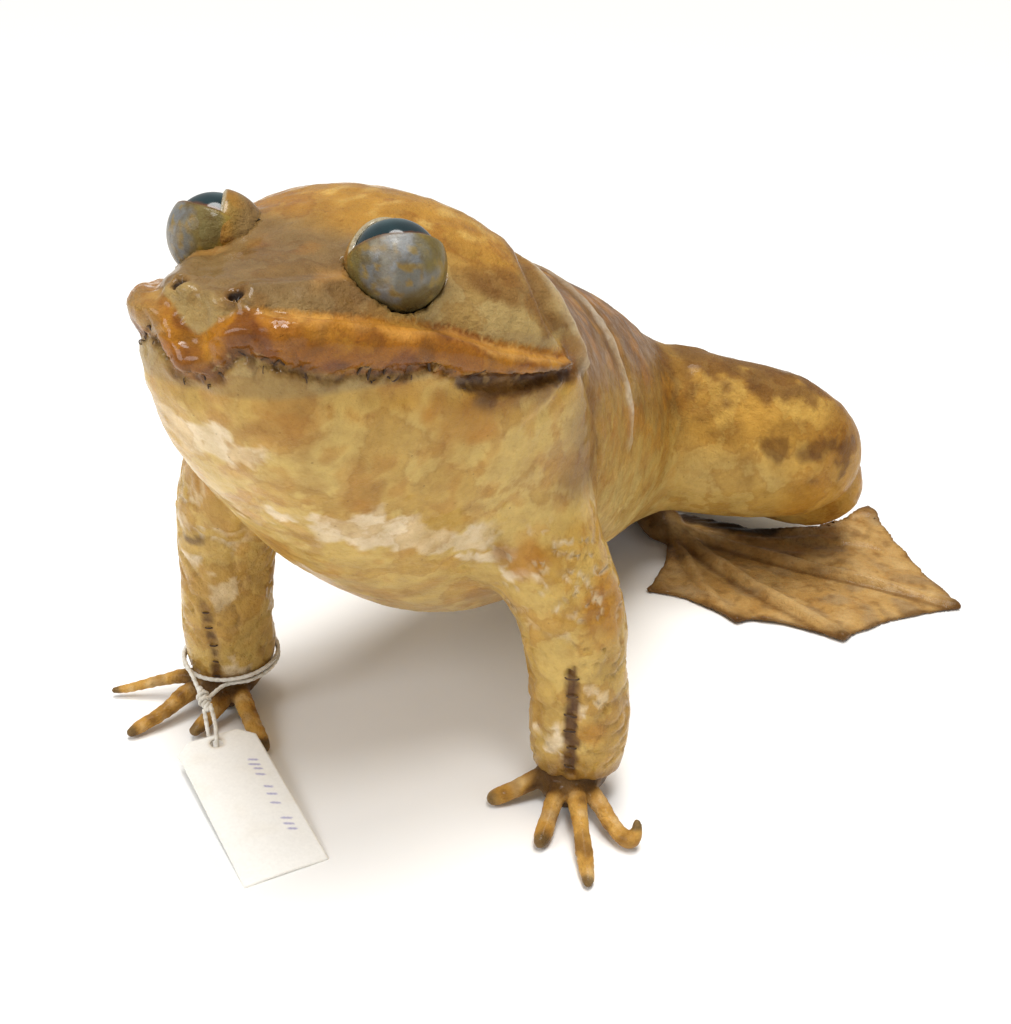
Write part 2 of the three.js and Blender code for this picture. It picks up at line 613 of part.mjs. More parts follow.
// The lead: from the knot down through the hole of the tag, round its end and back.
const alongTag = THREE.MathUtils.degToRad(TAG_TURN);
const leadPath = LEAD.map(([along, up, aside]) => [
  TAG_HOLE[0] + along * Math.cos(alongTag) + aside * Math.sin(alongTag),
  TAG_HOLE[1] + along * Math.sin(alongTag) - aside * Math.cos(alongTag),
  TAG_HOLE[2] + up,
]);
add('tag_string_lead', bar(leadPath, STRING, LEAD_STEPS, ROUND_SIDES), '#ece8df', 0.9);

const card = new THREE.Shape();
const nearEnd = -TAG.holeInset;
const farEnd = TAG.length - TAG.holeInset;
const edge = TAG.width / 2;
card.moveTo(nearEnd, edge - TAG.corner);
card.lineTo(nearEnd, -edge + TAG.corner);
card.lineTo(nearEnd + TAG.corner, -edge);
card.lineTo(farEnd, -edge);
card.lineTo(farEnd, edge);
card.lineTo(nearEnd + TAG.corner, edge);
card.closePath();
const hole = new THREE.Path();
hole.absarc(0, 0, TAG.holeRadius, 0, 2 * Math.PI, true);
card.holes.push(hole);
const sheet = new THREE.ExtrudeGeometry(card, {
  depth: TAG.thickness, bevelEnabled: false, curveSegments: 8,
});
sheet.translate(0, 0, -TAG.thickness / 2);
const tag = add('paper_tag', sheet, '#f3efe6', 0.85);
const drop = TAG_HOLE[2] - TAG_LIFT - TAG.thickness / 2;
tag.rotation.set(0, Math.asin(drop / farEnd), alongTag, 'ZYX');
tag.position.set(...TAG_HOLE);

export default frog;
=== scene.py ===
import math

import bmesh
import bpy
import numpy as np
from mathutils import Matrix, Vector, noise


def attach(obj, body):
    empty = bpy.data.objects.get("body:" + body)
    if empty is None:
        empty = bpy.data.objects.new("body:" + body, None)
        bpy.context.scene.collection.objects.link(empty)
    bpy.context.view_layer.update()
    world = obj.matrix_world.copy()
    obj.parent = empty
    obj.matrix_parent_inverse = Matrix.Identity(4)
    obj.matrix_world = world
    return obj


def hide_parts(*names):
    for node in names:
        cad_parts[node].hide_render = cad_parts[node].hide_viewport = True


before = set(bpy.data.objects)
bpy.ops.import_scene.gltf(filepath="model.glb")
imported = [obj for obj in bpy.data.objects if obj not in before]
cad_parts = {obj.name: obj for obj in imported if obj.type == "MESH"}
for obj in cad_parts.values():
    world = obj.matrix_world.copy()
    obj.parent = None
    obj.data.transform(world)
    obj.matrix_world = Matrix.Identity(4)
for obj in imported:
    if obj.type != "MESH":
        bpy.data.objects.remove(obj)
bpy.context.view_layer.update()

# A stuffed bullfrog with a strung tag. Shapes are worked out in millimetres in the row frame
# and written to the meshes in metres. The frog looks along -Y and its left side is +X.
MM = 0.001

# ---- camera, floor and light ----
CAMERA_AT = (0.1411, -0.2800, 0.1911)
CAMERA_TURN = 26.49              # degrees round the object
CAMERA_RISE = 26.12
CAMERA_ROLL = 1.61
CAMERA_LENS = 45.78


def make_camera():
    turn, rise, roll = (math.radians(v) for v in (CAMERA_TURN, CAMERA_RISE, CAMERA_ROLL))
    back = Vector((math.sin(turn) * math.cos(rise), -math.cos(turn) * math.cos(rise), math.sin(rise)))
    level = Vector((math.cos(turn), math.sin(turn), 0))
    rising = back.cross(level)
    right = level * math.cos(roll) + rising * math.sin(roll)
    up = rising * math.cos(roll) - level * math.sin(roll)
    data = bpy.data.cameras.new("camera")
    data.lens = CAMERA_LENS
    data.sensor_width = 36
    data.clip_start = 0.01
    data.clip_end = 20
    camera = bpy.data.objects.new("camera", data)
    camera.matrix_world = Matrix.Translation(CAMERA_AT) @ Matrix((right, up, back)).transposed().to_4x4()
    bpy.context.collection.objects.link(camera)
    bpy.context.scene.camera = camera


def make_light(name, place, size, power, colour=(1, 1, 1), aim=(0, 0, 0.06)):
    data = bpy.data.lights.new(name, "AREA")
    data.shape = "DISK"
    data.size = size
    data.energy = power
    data.color = colour
    light = bpy.data.objects.new(name, data)
    light.location = place
    light.rotation_euler = (Vector(aim) - Vector(place)).to_track_quat("-Z", "Y").to_euler()
    bpy.context.collection.objects.link(light)


def make_sun(name, way, strength, width, colour):
    """Broad light from far off, which falls evenly on the whole floor."""
    data = bpy.data.lights.new(name, "SUN")
    data.energy = strength
    data.angle = math.radians(width)
    data.color = colour
    light = bpy.data.objects.new(name, data)
    light.rotation_euler = Vector(way).to_track_quat("Z", "Y").to_euler()
    bpy.context.collection.objects.link(light)


def make_stage():
    mesh = bpy.data.meshes.new("floor")
    half = 12.0
    mesh.from_pydata([(-half, -half, 0), (half, -half, 0), (half, half, 0), (-half, half, 0)], [],
                     [(0, 1, 2, 3)])
    floor = bpy.data.objects.new("floor", mesh)
    bpy.context.collection.objects.link(floor)
    material = bpy.data.materials.new("floor_white")
    material.use_nodes = True
    shader = material.node_tree.nodes["Principled BSDF"]
    shader.inputs["Base Color"].default_value = (0.93, 0.925, 0.91, 1)
    shader.inputs["Roughness"].default_value = 0.75
    mesh.materials.append(material)
    world = bpy.data.worlds.new("studio")
    world.use_nodes = True
    sky = world.node_tree.nodes["Background"]
    sky.inputs["Color"].default_value = (1, 1, 1, 1)
    sky.inputs["Strength"].default_value = 0.40
    bpy.context.scene.world = world
    make_sun("overhead", (-0.02, 0.10, 1.0), 2.3, 30, (1, 0.985, 0.96))
    make_light("window", (-0.35, -0.75, 0.6), 0.45, 3.0, (0.98, 0.99, 1))
    make_light("lamp", (0.2, -0.30, 0.85), 0.22, 2.6)
    scene = bpy.context.scene
    scene.view_settings.view_transform = "Standard"
    scene.view_settings.look = "None"


make_camera()
make_stage()

# ---- driving shapes, in millimetres ----
TRUNK = (
    (-117.4, 120, 108, 7, 114), (-114.5, 126, 103, 13.5, 115), (-110, 127.5, 93, 18, 114),
    (-104, 128, 84, 22.5, 112), (-95, 129, 72, 28.5, 109), (-85, 131, 60, 34.5, 107),
    (-75, 134, 51, 40, 105), (-64, 135.5, 42, 44, 103), (-55, 133.5, 36, 45.5, 99),
    (-45, 127, 31, 44, 88), (-30, 120, 27, 42, 77), (-12, 111.5, 22, 39, 69),
    (8, 103, 17, 36, 61), (35, 91, 12, 33, 51), (60, 76, 9.5, 29, 42), (78, 58, 13, 23, 36),
    (90, 43, 18, 15, 31), (96, 33, 24, 5, 28),
)
LEFT_ARM = (
    (24, -50, 78, 13, 16), (32.5, -51, 67, 13, 14.5), (39.5, -52, 56, 12, 13), (44.6, -52.5, 46, 11.4, 11.6),
    (46.6, -53, 34, 10.7, 10.8), (48, -53, 22, 11, 10.8), (48, -53, 11, 10.4, 10),
)
# The right arm, written as a left one and then mirrored: it is fuller at the shoulder.
OTHER_ARM = (
    (26, -50, 78, 15, 17), (38, -51, 67, 15, 15), (44, -52, 56, 13, 13), (46.5, -52.5, 46, 11.6, 11.6),
    (47.5, -53, 34, 10.8, 10.8), (48, -53, 22, 11, 10.8), (48, -53, 11, 10.4, 10),
)
THIGH = (
    (4, 56, 45, 20, 24), (22, 62, 44.5, 19, 24.5), (38, 69, 42, 19, 23.5), (51, 76, 40, 18, 22),
    (60, 80, 37.5, 14.5, 19), (67, 83, 36.5, 9.5, 13.5), (71, 85, 36, 4, 5),
)
SHANK = (
    (70, 92, 27, 6, 8), (64, 96, 23, 11.5, 12.5), (53, 100, 19, 14, 14), (40, 102.5, 16.5, 13, 13),
    (26, 104.5, 13, 9.5, 10), (15, 105.5, 10.5, 7.5, 8),
)


def smooth_min(a, b, k):
    h = np.clip(0.5 + 0.5 * (b - a) / k, 0, 1)
    return b + (a - b) * h - k * h * (1 - h)


def smooth_max(a, b, k):
    return -smooth_min(-a, -b, k)


def spline_rows(rows, at):
    """The rows' other columns at given values of their first column, smoothly interpolated."""
    rows = np.array(rows, float)
    key = rows[:, 0]
    slopes = np.gradient(rows[:, 1:], key, axis=0)
    i = np.clip(np.searchsorted(key, at) - 1, 0, len(key) - 2)
    span = (key[i + 1] - key[i])[:, None]
    t = np.clip((at - key[i])[:, None] / span, 0, 1)
    a, b = rows[i, 1:], rows[i + 1, 1:]
    return ((1 + 2 * t) * (1 - t) ** 2 * a + t * (1 - t) ** 2 * span * slopes[i]
            + t ** 2 * (3 - 2 * t) * b + t ** 2 * (t - 1) * span * slopes[i + 1])


def trunk_field(p):
    x, y, z = p.T
    top, bottom, half, wide = spline_rows(TRUNK, y).T
    above = z > wide
    high = np.where(above, top - wide, wide - bottom)
    n = 2.0 + 0.5 * np.clip((-90 - y) / 15, 0, 1)
    u = np.abs(x) / half
    v = np.abs(z - wide) / high
    r = np.maximum((u ** n + v ** n) ** (1 / n), 0.05)
    steep = r ** (1 - n) * np.sqrt((u ** (n - 1) / half) ** 2 + (v ** (n - 1) / high) ** 2)
    f = (r - 1) / np.maximum(steep, 1e-3)
    f = smooth_max(f, -117.6 - y, 5)
    return smooth_max(f, y - 96.5, 5)


def resampled(sections, times=3):
    sections = np.array(sections, float)
    at = np.linspace(0, len(sections) - 1, times * (len(sections) - 1) + 1)
    rows = np.column_stack([np.arange(len(sections)), sections])
    return spline_rows(rows, at)


def swept_field(p, sections, up=(0, 0, 1), blend=1.5):
    """Distance to an elliptical rod through sections of centre, half width and half height."""
    out = np.full(len(p), 30.0)
    sections = resampled(sections)
    up = np.array(up, float)
    for a, b in zip(sections[:-1], sections[1:]):
        margin = max(a[3:].max(), b[3:].max()) + 12
        low = np.minimum(a[:3], b[:3]) - margin
        high = np.maximum(a[:3], b[:3]) + margin
        near = np.all((p > low) & (p < high), axis=1)
        if not near.any():
            continue
        q = p[near]
        course = b[:3] - a[:3]
        length = np.linalg.norm(course)
        course = course / length
        side = np.cross(course, up)
        side /= np.linalg.norm(side)
        rise = np.cross(side, course)
        t = np.clip((q - a[:3]) @ course / length, 0, 1)[:, None]
        here = a + t * (b - a)
        d = q - here[:, :3]
        wide, tall = here[:, 3], here[:, 4]
        deep = np.minimum(wide, tall)
        u, v, w = d @ side, d @ rise, d @ course
        r = np.sqrt((u / wide) ** 2 + (v / tall) ** 2 + (w / deep) ** 2) + 1e-6
        steep = np.sqrt((u / wide ** 2) ** 2 + (v / tall ** 2) ** 2 + (w / deep ** 2) ** 2) / r
        f = (r - 1) / np.maximum(steep, 1 / np.maximum(wide, tall))
        out[near] = smooth_min(out[near], f, blend)
    return out

# ---- features of the hide: lips, mouth, eyes, folds ----
LEFT_EYE = np.array((21, -85.5, 128.0))
RIGHT_EYE = np.array((-19.3, -85.5, 127.7))
EYE_RADIUS = 8.1
LID_THICKNESS = 0.9
# Way each lid faces, mirrored for the right eye, and how far from the eye's middle its edge lies.
LOWER_LIDS = {"left": ((0.474, -0.413, -0.778), -2.3), "right": ((0.03, -0.55, -0.83), -3.2)}
UPPER_LIDS = {"left": ((-0.80, 0.40, -0.50), 0.4), "right": ((-0.786, 0.575, -0.226), 0.1)}
RIGHT_ARM_SHIFT = np.array((3, -7, 0))
MIRROR = np.array((-1, 1, 1))

# The upper lip on the left: X, Y, Z of its middle line, half thickness and half height.
LIP = (
    (0, -117.2, 115.4, 2.4, 3.0), (4.5, -116.6, 118.4, 2.0, 2.4), (8.6, -115.2, 121.6, 2.0, 2.6),
    (14, -111.4, 120.8, 3.0, 3.7), (19, -104.6, 118.4, 3.5, 4.3), (24, -97.2, 116.8, 3.5, 4.0),
    (29, -89.4, 115.2, 3.4, 3.6), (33, -84.4, 113.4, 3.3, 3.3), (37, -78.6, 110.8, 3.1, 2.9),
    (41, -70.6, 108.4, 2.7, 2.4), (43.8, -62.6, 106.2, 2.3, 1.8), (45, -56, 104.6, 1.6, 1.1),
)
LIP_SINK = 1.3
# The mouth line on the left: X, Y, Z.
MOUTH = (
    (0, -117.6, 112.4), (4, -117.4, 112.9), (6.6, -116.6, 115.2), (9, -115.9, 117.6),
    (12.9, -114.6, 117.0), (16.2, -112.3, 115.8), (18.6, -109.3, 114.3), (19.9, -107.7, 113.2),
    (21.7, -105.2, 113.0), (23.7, -102.3, 113.3), (25.2, -100, 112.2), (26.6, -97.7, 112.4),
    (27.8, -95.9, 111.4), (29.8, -92.1, 112.4), (31.5, -89, 112.2), (33.4, -86.6, 109.9),
    (34.6, -84.6, 108.6), (36.3, -81.7, 108.4), (39.9, -74.9, 107), (42.7, -68.1, 105.8),
    (44.8, -59.8, 104.6), (45.2, -55.4, 103.9),
)
# Where the lips stand apart near the corner: X, Y, Z, half depth and half height.
LIP_PARTING = (
    (34.6, -84.6, 108.1, 0.4, 0.2), (36.4, -81.4, 107.4, 0.9, 0.6), (38.6, -77.4, 106.4, 1.7, 1.3),
    (41.6, -70.6, 105.2, 1.7, 1.2), (44.4, -62, 104.5, 1.0, 0.6), (45.2, -56.5, 103.9, 0.5, 0.3),
)
NOSTRIL = np.array((6.0, -112.0, 126.9))
NOSTRIL_WAY = np.array((0.18, -0.12, 0.976))     # way the left nostril opens
NOSTRIL_COURSE = np.array((0.95, 0.28, -0.14))   # way its slit runs
NOSTRIL_HALF = (1.2, 1.05)
# Folds on the left, mirrored to the right: points, width and depth of the furrow.
# A negative depth is a raised fold.
FOLDS = {
    "lip_groove": (((3.5, -116, 123.4), (8.8, -114.2, 125.4), (14, -110.2, 124.8), (19, -103.5, 123.4),
                    (24, -95.8, 121.4), (29, -87.9, 119.2), (32.3, -83.6, 117.6), (37.2, -77.6, 114.4),
                    (41.2, -69.9, 111.6), (43.9, -62.3, 108.4)), 1.6, 1.2),
    "snout_hollow": (((0, -117.4, 122.5), (0, -117.4, 119.5)), 3.0, 1.5),
    "canthus": (((1, -111.4, 127.6), (4.2, -104.8, 128.2), (8, -101, 128.2), (12, -95, 128.4)), 1.0, 0.35),
    "brow_ridge": (((7, -110.5, 127.6), (12, -103, 127.6), (16, -96.5, 127.4)), 2.4, -0.9),
    "under_lip": (((0, -116.4, 109.4), (9, -113.8, 110.8), (17, -107.4, 110), (24.6, -98, 108.6),
                   (31, -88, 107.2), (35.6, -80.2, 103.8), (40.6, -71, 100.8)), 2.6, 0.9),
    "dome_edge": (((0, -44, 130.2), (12, -45, 129.6), (23, -49.5, 127.4), (30, -54.6, 124.6),
                   (35.2, -59.2, 121.8), (38.4, -60.6, 118.8), (41, -61.4, 115.4),
                   (43.4, -59.2, 110), (45, -55.2, 104.6)), 1.7, 2.9),
    "neck_crease": (((45, -55.2, 104.4), (45, -51.6, 100.6), (44.3, -47.5, 95.6), (43.2, -41.5, 89.4),
                     (42.9, -38, 81.5), (42.4, -37.7, 73)), 1.8, 1.8),
    "neck_fold_front": (((0, -37.5, 123.6), (14, -39, 122), (26, -45.5, 120.6), (34, -52.5, 119.2),
                         (39.6, -54.8, 114.6), (43, -53.6, 109), (44.6, -50, 103)), 2.0, -1.4),
    "neck_fold_back": (((0, -2, 106.4), (10, -2, 105.2), (19, -2.5, 101.6), (25.5, -2.5, 96.4),
                        (30.5, -3.5, 89.8), (34.2, -5, 83.6), (36.4, -6.5, 77.5), (37.6, -8, 70)), 2.6, -1.3),
    "behind_fold": (((10, 4.5, 103.2), (19.5, 4.4, 98.8), (26.4, 4, 93), (31.6, 3, 86),
                     (35.2, 1.5, 78), (37, 0, 69)), 3.4, 1.2),
    "corner_flap": (((44.9, -59.9, 102.8), (43.4, -65.6, 98.6), (41.2, -71.4, 96.2)), 1.1, 0.8),
    "hip_crease": (((31.5, 24, 86), (35.2, 20, 76), (36.8, 15, 66), (36.4, 10, 54), (34, 8, 44)), 3.4, 1.6),
    "armpit": (((37, -38, 62), (41, -41.5, 55)), 2.2, 1.0),
}


def along(points, step=1.0):
    """Points a step apart on the smooth curve through the given rows."""
    rows = np.array(points, float)
    key = np.concatenate([[0], np.cumsum(np.linalg.norm(np.diff(rows[:, :3], axis=0), axis=1))])
    at = np.linspace(0, key[-1], max(int(key[-1] / step), 2))
    return spline_rows(np.column_stack([key, rows]), at)


def curve_distance(p, points, reach, step=1.2):
    """Distance from each point to a curve, where it is under reach."""
    line = along(points, step)
    out = np.full(len(p), float(reach))
    near = np.all((p > line.min(0) - reach) & (p < line.max(0) + reach), axis=1)
    if not near.any():
        return out
    q = p[near]
    best = np.full(len(q), float(reach) ** 2)
    for a, b in zip(line[:-1], line[1:]):
        course = b - a
        t = np.clip((q - a) @ course / (course @ course), 0, 1)
        d = q - a - t[:, None] * course
        best = np.minimum(best, np.einsum("ij,ij->i", d, d))
    out[near] = np.sqrt(best)
    return out


def both_sides(points):
    rows = np.array(points, float)
    other = rows.copy()
    other[:, 0] *= -1
    return rows, other


def furrow(p, points, width, depth):
    d = curve_distance(p, points, 3 * width)
    return depth * (np.exp(-(d / width) ** 2) - math.exp(-9))


def sunk(points, depth, field):
    """Points moved inward from the hide's surface."""
    rows = np.array(points, float)
    p = rows[:, :3]
    for _ in range(3):
        value, slope = value_and_slope(p, field)
        p = p - (value / np.maximum((slope ** 2).sum(1), 0.1))[:, None] * slope
    _, slope = value_and_slope(p, field)
    rows[:, :3] = p - depth * slope / np.linalg.norm(slope, axis=1)[:, None]
    return rows


def value_and_slope(p, field, step=0.04):
    value = field(p)
    slope = np.stack([(field(p + step * axis) - value) / step for axis in np.eye(3)], axis=1)
    return value, slope


def smooth_step(low, high, value):
    t = np.clip((value - low) / (high - low), 0, 1)
    return t * t * (3 - 2 * t)


LIPS = both_sides(sunk(LIP, LIP_SINK, trunk_field))
PARTINGS = both_sides(sunk(LIP_PARTING, 0.4, trunk_field))
LEGS = [(side, (thigh, shank)) for side, thigh, shank in zip(
    (1, -1), both_sides(THIGH), both_sides(SHANK))]
LEFT_ARM = np.array(LEFT_ARM, float)
RIGHT_ARM = both_sides(OTHER_ARM)[1]
RIGHT_ARM[:, :3] += RIGHT_ARM_SHIFT
# The open seams down the forearms, top to bottom, and the slits cut along them.
ARM_SEAMS = {
    "left": ((50.4, -64, 38.4), (50.6, -64, 31), (50.3, -64, 25), (51.0, -63.8, 19), (50.7, -63.2, 12)),
    "right": ((-42.9, -71.2, 31.6), (-42.2, -71, 25.4), (-41.4, -70.6, 19.7), (-41.6, -70, 14), (-41.8, -69.6, 10)),
}
SLIT_WIDTH = {"left": 1.5, "right": 0.8}
SLIT_DEPTH = {"left": 1.3, "right": 0.6}
EYES = {"left": (LEFT_EYE, np.array((1, 1, 1))), "right": (RIGHT_EYE, MIRROR)}


def facing_of(d, lid):
    """Distance of offsets from the eye's middle along the way a lid faces."""
    way = np.array(lid[0])
    return d @ way / np.linalg.norm(way)


def hide_field(p):
    f = trunk_field(p)
    for arm in (LEFT_ARM, RIGHT_ARM):
        f = smooth_min(f, swept_field(p, arm, up=(0, -1, 0)), 7)
    for _, (thigh, shank) in LEGS:
        legs = smooth_min(swept_field(p, thigh), swept_field(p, shank), 3)
        f = smooth_min(f, legs, 7)
    head = p[:, 1] < -30
    f[head] = head_features(p[head], f[head])
    for points, width, depth in FOLDS.values():
        for side in both_sides(points):
            f = f + furrow(p, side, width, depth)
    for name, seam in ARM_SEAMS.items():
        f = f + furrow(p, seam, SLIT_WIDTH[name], SLIT_DEPTH[name])
    f = smooth_max(f, WRIST_CUT - p[:, 2], 0.6)
    return f


WRIST_CUT = 9.2                  # lowest point of the arm hide
COLLAR = np.array((-2.4, 1.6, -5.2, 9.8))      # mound under the left eye: offset and radius


def head_features(p, f):
    for lip in LIPS:
        f = smooth_min(f, swept_field(p, lip), 1.0)
    for name, (middle, side) in EYES.items():
        d = (p - middle) * side
        collar = np.linalg.norm(d - COLLAR[:3], axis=1) - COLLAR[3]
        f = smooth_min(f, collar, 4.0)
        reach = LOWER_LIDS[name][1]
        lid = facing_of(d, LOWER_LIDS[name])
        room = EYE_RADIUS + 0.15 + (LID_THICKNESS + 0.1) * smooth_step(reach - 1.1, reach - 0.1, lid)
        f = smooth_max(f, room - np.linalg.norm(d, axis=1), 0.5)
    for side in both_sides(MOUTH):
        f = f + furrow(p, side, 0.7, 1.9)
    for parting in PARTINGS:
        f = smooth_max(f, -swept_field(p, parting), 1.3)
    for side in (1, -1):
        pit = nostril_distance(p, side)
        f = f + 1.9 * np.exp(-pit ** 2) - 0.35 * np.exp(-((pit - 2.2) / 0.8) ** 2)
    return f


def nostril_distance(p, side):
    """Distance from a nostril's middle line, in nostril half widths."""
    d = (p - NOSTRIL * (side, 1, 1)) * (side, 1, 1)
    depth, aside = d @ NOSTRIL_WAY, d @ NOSTRIL_COURSE
    across = d @ np.cross(NOSTRIL_WAY, NOSTRIL_COURSE)
    return np.hypot(aside / NOSTRIL_HALF[0], across / NOSTRIL_HALF[1]) + 4 * smooth_step(3, 5, np.abs(depth))


# ---- meshing a field ----
def surface_net(field, low, high, cell):
    """Vertices and outward quads where the field changes sign on a grid of cubes."""
    low = np.array(low, float)
    counts = np.ceil((np.array(high) - low) / cell).astype(int) + 1
    grid = np.indices(counts).reshape(3, -1).T
    values = field(low + cell * grid).reshape(counts)
    shape = counts - 1
    total = np.zeros((*shape, 3))
    count = np.zeros(shape, int)
    crossings = []
    for axis in range(3):
        first = np.take(values, range(counts[axis] - 1), axis)
        second = np.take(values, range(1, counts[axis]), axis)
        crossing = (first < 0) != (second < 0)
        gap = np.where(crossing, first - second, 1)
        place = np.indices(crossing.shape).astype(float)
        place[axis] += np.where(crossing, first / gap, 0)
        others = [(axis + 1) % 3, (axis + 2) % 3]
        for shift in ((0, 0), (0, 1), (1, 0), (1, 1)):
            window = [slice(None)] * 3
            for other, offset in zip(others, shift):
                window[other] = slice(offset, offset + shape[other])
            mask = crossing[tuple(window)]
            for k in range(3):
                total[..., k] += np.where(mask, place[k][tuple(window)], 0)
            count += mask
        crossings.append((crossing, first < 0, others))
    used = count > 0
    number = np.full(shape, -1)
    number[used] = np.arange(used.sum())
    vertices = low + cell * total[used] / count[used][:, None]
    quads = []
    for crossing, inside, others in crossings:
        at = np.argwhere(crossing)
        inner = np.all([(at[:, o] > 0) & (at[:, o] < shape[o]) for o in others], axis=0)
        at = at[inner]
        corners = []
        for shift in ((-1, -1), (0, -1), (0, 0), (-1, 0)):
            cell_at = at.copy()
            cell_at[:, others[0]] += shift[0]
            cell_at[:, others[1]] += shift[1]
            corners.append(number[tuple(cell_at.T)])
        quad = np.stack(corners, axis=1)
        outward = inside[tuple(at.T)]
        quad[~outward] = quad[~outward][:, ::-1]
        quads.append(quad)
    return vertices, np.concatenate(quads)


def settled(p, field, rounds=2, most=0.6):
    """Vertices moved along the field's slope until they lie on its surface."""
    for _ in range(rounds):
        value, slope = value_and_slope(p, field)
        move = value[:, None] * slope / np.maximum((slope ** 2).sum(1), 0.2)[:, None]
        size = np.linalg.norm(move, axis=1)[:, None]
        p = p - move * np.minimum(1, most / np.maximum(size, 1e-9))
    return p


# ---- pieces ----
def piece(name, vertices, faces, body="frog"):
    """A smooth-shaded mesh from millimetre vertices."""
    mesh = bpy.data.meshes.new(name)
    mesh.from_pydata((np.asarray(vertices) * MM).tolist(), [], [list(map(int, f)) for f in faces])
    mesh.update()
    mesh.shade_smooth()
    obj = bpy.data.objects.new(name, mesh)
    bpy.context.collection.objects.link(obj)
    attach(obj, body)
    return obj


def millimetres(obj):
    out = np.empty(3 * len(obj.data.vertices), np.float32)
    obj.data.vertices.foreach_get("co", out)
    return out.reshape(-1, 3).astype(float) / MM


def place_vertices(obj, vertices):
    obj.data.vertices.foreach_set("co", (vertices * MM).astype(np.float32).ravel())
    obj.data.update()


def normals(obj):
    out = np.empty(3 * len(obj.data.vertices), np.float32)
    obj.data.vertex_normals.foreach_get("vector", out)
    return out.reshape(-1, 3).astype(float)


def subdivide(obj, chosen):
    """Splits every face whose corners are all in the chosen mask."""
    mesh = bmesh.new()
    mesh.from_mesh(obj.data)
    faces = [f for f in mesh.faces if all(chosen[v.index] for v in f.verts)]
    edges = list({e for f in faces for e in f.edges})
    bmesh.ops.subdivide_edges(mesh, edges=edges, cuts=1, use_grid_fill=True)
    mesh.to_mesh(obj.data)
    mesh.free()
    obj.data.update()
    obj.data.shade_smooth()


def roughened(p, size, amount, seed=0.0):
    """Smooth noise of about the given grain size, one value for each point."""
    shift = Vector((seed, 1.7 * seed, -seed))
    return amount * np.array([noise.noise(Vector(q) / size + shift) for q in p])


def wobble(p, size, amount, seed=0.0):
    """Points pushed about, so that a patch laid on them gets an irregular outline."""
    shift = Vector((seed, -seed, 2.3 * seed))
    return p + amount * np.array([noise.noise_vector(Vector(q) / size + shift) for q in p])


def paint(obj, colours, wet=None):
    """Stores each vertex's colour, and how glossy it is, for the material."""
    layer = obj.data.color_attributes.new("tint", "FLOAT_COLOR", "POINT")
    alpha = np.ones(len(colours)) if wet is None else wet
    layer.data.foreach_set("color", np.column_stack([colours, alpha]).astype(np.float32).ravel())


def mix(base, colour, share):
    share = np.clip(share, 0, 1)[:, None]
    return base * (1 - share) + np.array(colour) * share


def blob(p, centre, size):
    d = (p - np.array(centre, float)) / np.array(size, float)
    return np.exp(-(d * d).sum(1))


def patch(p, centre, size, edge=0.25):
    """A filled ellipsoid with a fairly sharp edge."""
    d = np.linalg.norm((p - np.array(centre, float)) / np.array(size, float), axis=1)
    return 1 - smooth_step(1 - edge, 1 + edge, d)


# ---- hide ----
HIDE_CELL = 1.9
HIDE_BOX = ((-93, -123, 6), (93, 124, 142))


def make_hide():
    vertices, quads = surface_net(hide_field, *HIDE_BOX, HIDE_CELL)
    hide = piece("hide", vertices, quads)
    mouth_lines = both_sides(MOUTH)

    p = settled(millimetres(hide), hide_field, 1, 1.0)
    place_vertices(hide, p)
    on_head = (p[:, 1] < -47) & (p[:, 2] > 74 + 0.5 * (p[:, 1] + 47))
    on_arms = (p[:, 1] < -42) & (p[:, 2] < 66) & (np.abs(p[:, 0]) > 26)
    on_neck = (p[:, 1] < 6) & (p[:, 1] > -66) & (p[:, 2] > 66)
    subdivide(hide, on_head | on_arms | on_neck)
    p = settled(millimetres(hide), hide_field, 1)
    place_vertices(hide, p)
    by_mouth = np.minimum(*[curve_distance(p, line, 5.0) for line in mouth_lines])
    by_nostril = np.minimum(*[np.linalg.norm(p - NOSTRIL * (side, 1, 1), axis=1) for side in (1, -1)])
    subdivide(hide, (by_mouth < 3.4) | (by_nostril < 4.0))
    p = settled(millimetres(hide), hide_field, 2, 0.5)
    place_vertices(hide, p)

    slope = normals(hide)
    bumps = roughened(p, 9, 0.36) + roughened(p, 3.2, 0.20, 5) + roughened(p, 1.3, 0.09, 9)
    warts = smooth_step(20, 45, p[:, 1]) * smooth_step(0.1, 0.6, slope[:, 2])
    bumps = bumps + 0.45 * warts * smooth_step(0.22, 0.5, roughened(p, 6.5, 1.0, 67))
    shoulder = smooth_step(-40, -48, p[:, 1]) * smooth_step(76, 64, p[:, 2]) * smooth_step(22, 32, np.abs(p[:, 0]))
    creases = roughened(p * (1, 1, 1.6), 7, 1.0, 61)
    bumps = bumps - 0.75 * shoulder * smooth_step(0.16, 0.0, np.abs(creases))
    snout = smooth_step(-107, -112, p[:, 1]) * smooth_step(112, 115, p[:, 2])
    bumps = bumps + snout * (roughened(p, 3.6, 0.55, 63) - 0.45 * smooth_step(0.15, 0, np.abs(roughened(p, 5, 1.0, 65))))
    by_mouth = np.minimum(*[curve_distance(p, line, 4.0) for line in mouth_lines])
    frayed = np.exp(-(by_mouth / 1.5) ** 2) * roughened(p, 1.1, 0.6, 3)
    place_vertices(hide, p + slope * (bumps + frayed)[:, None])
    paint_hide(hide, p, slope)
    return hide


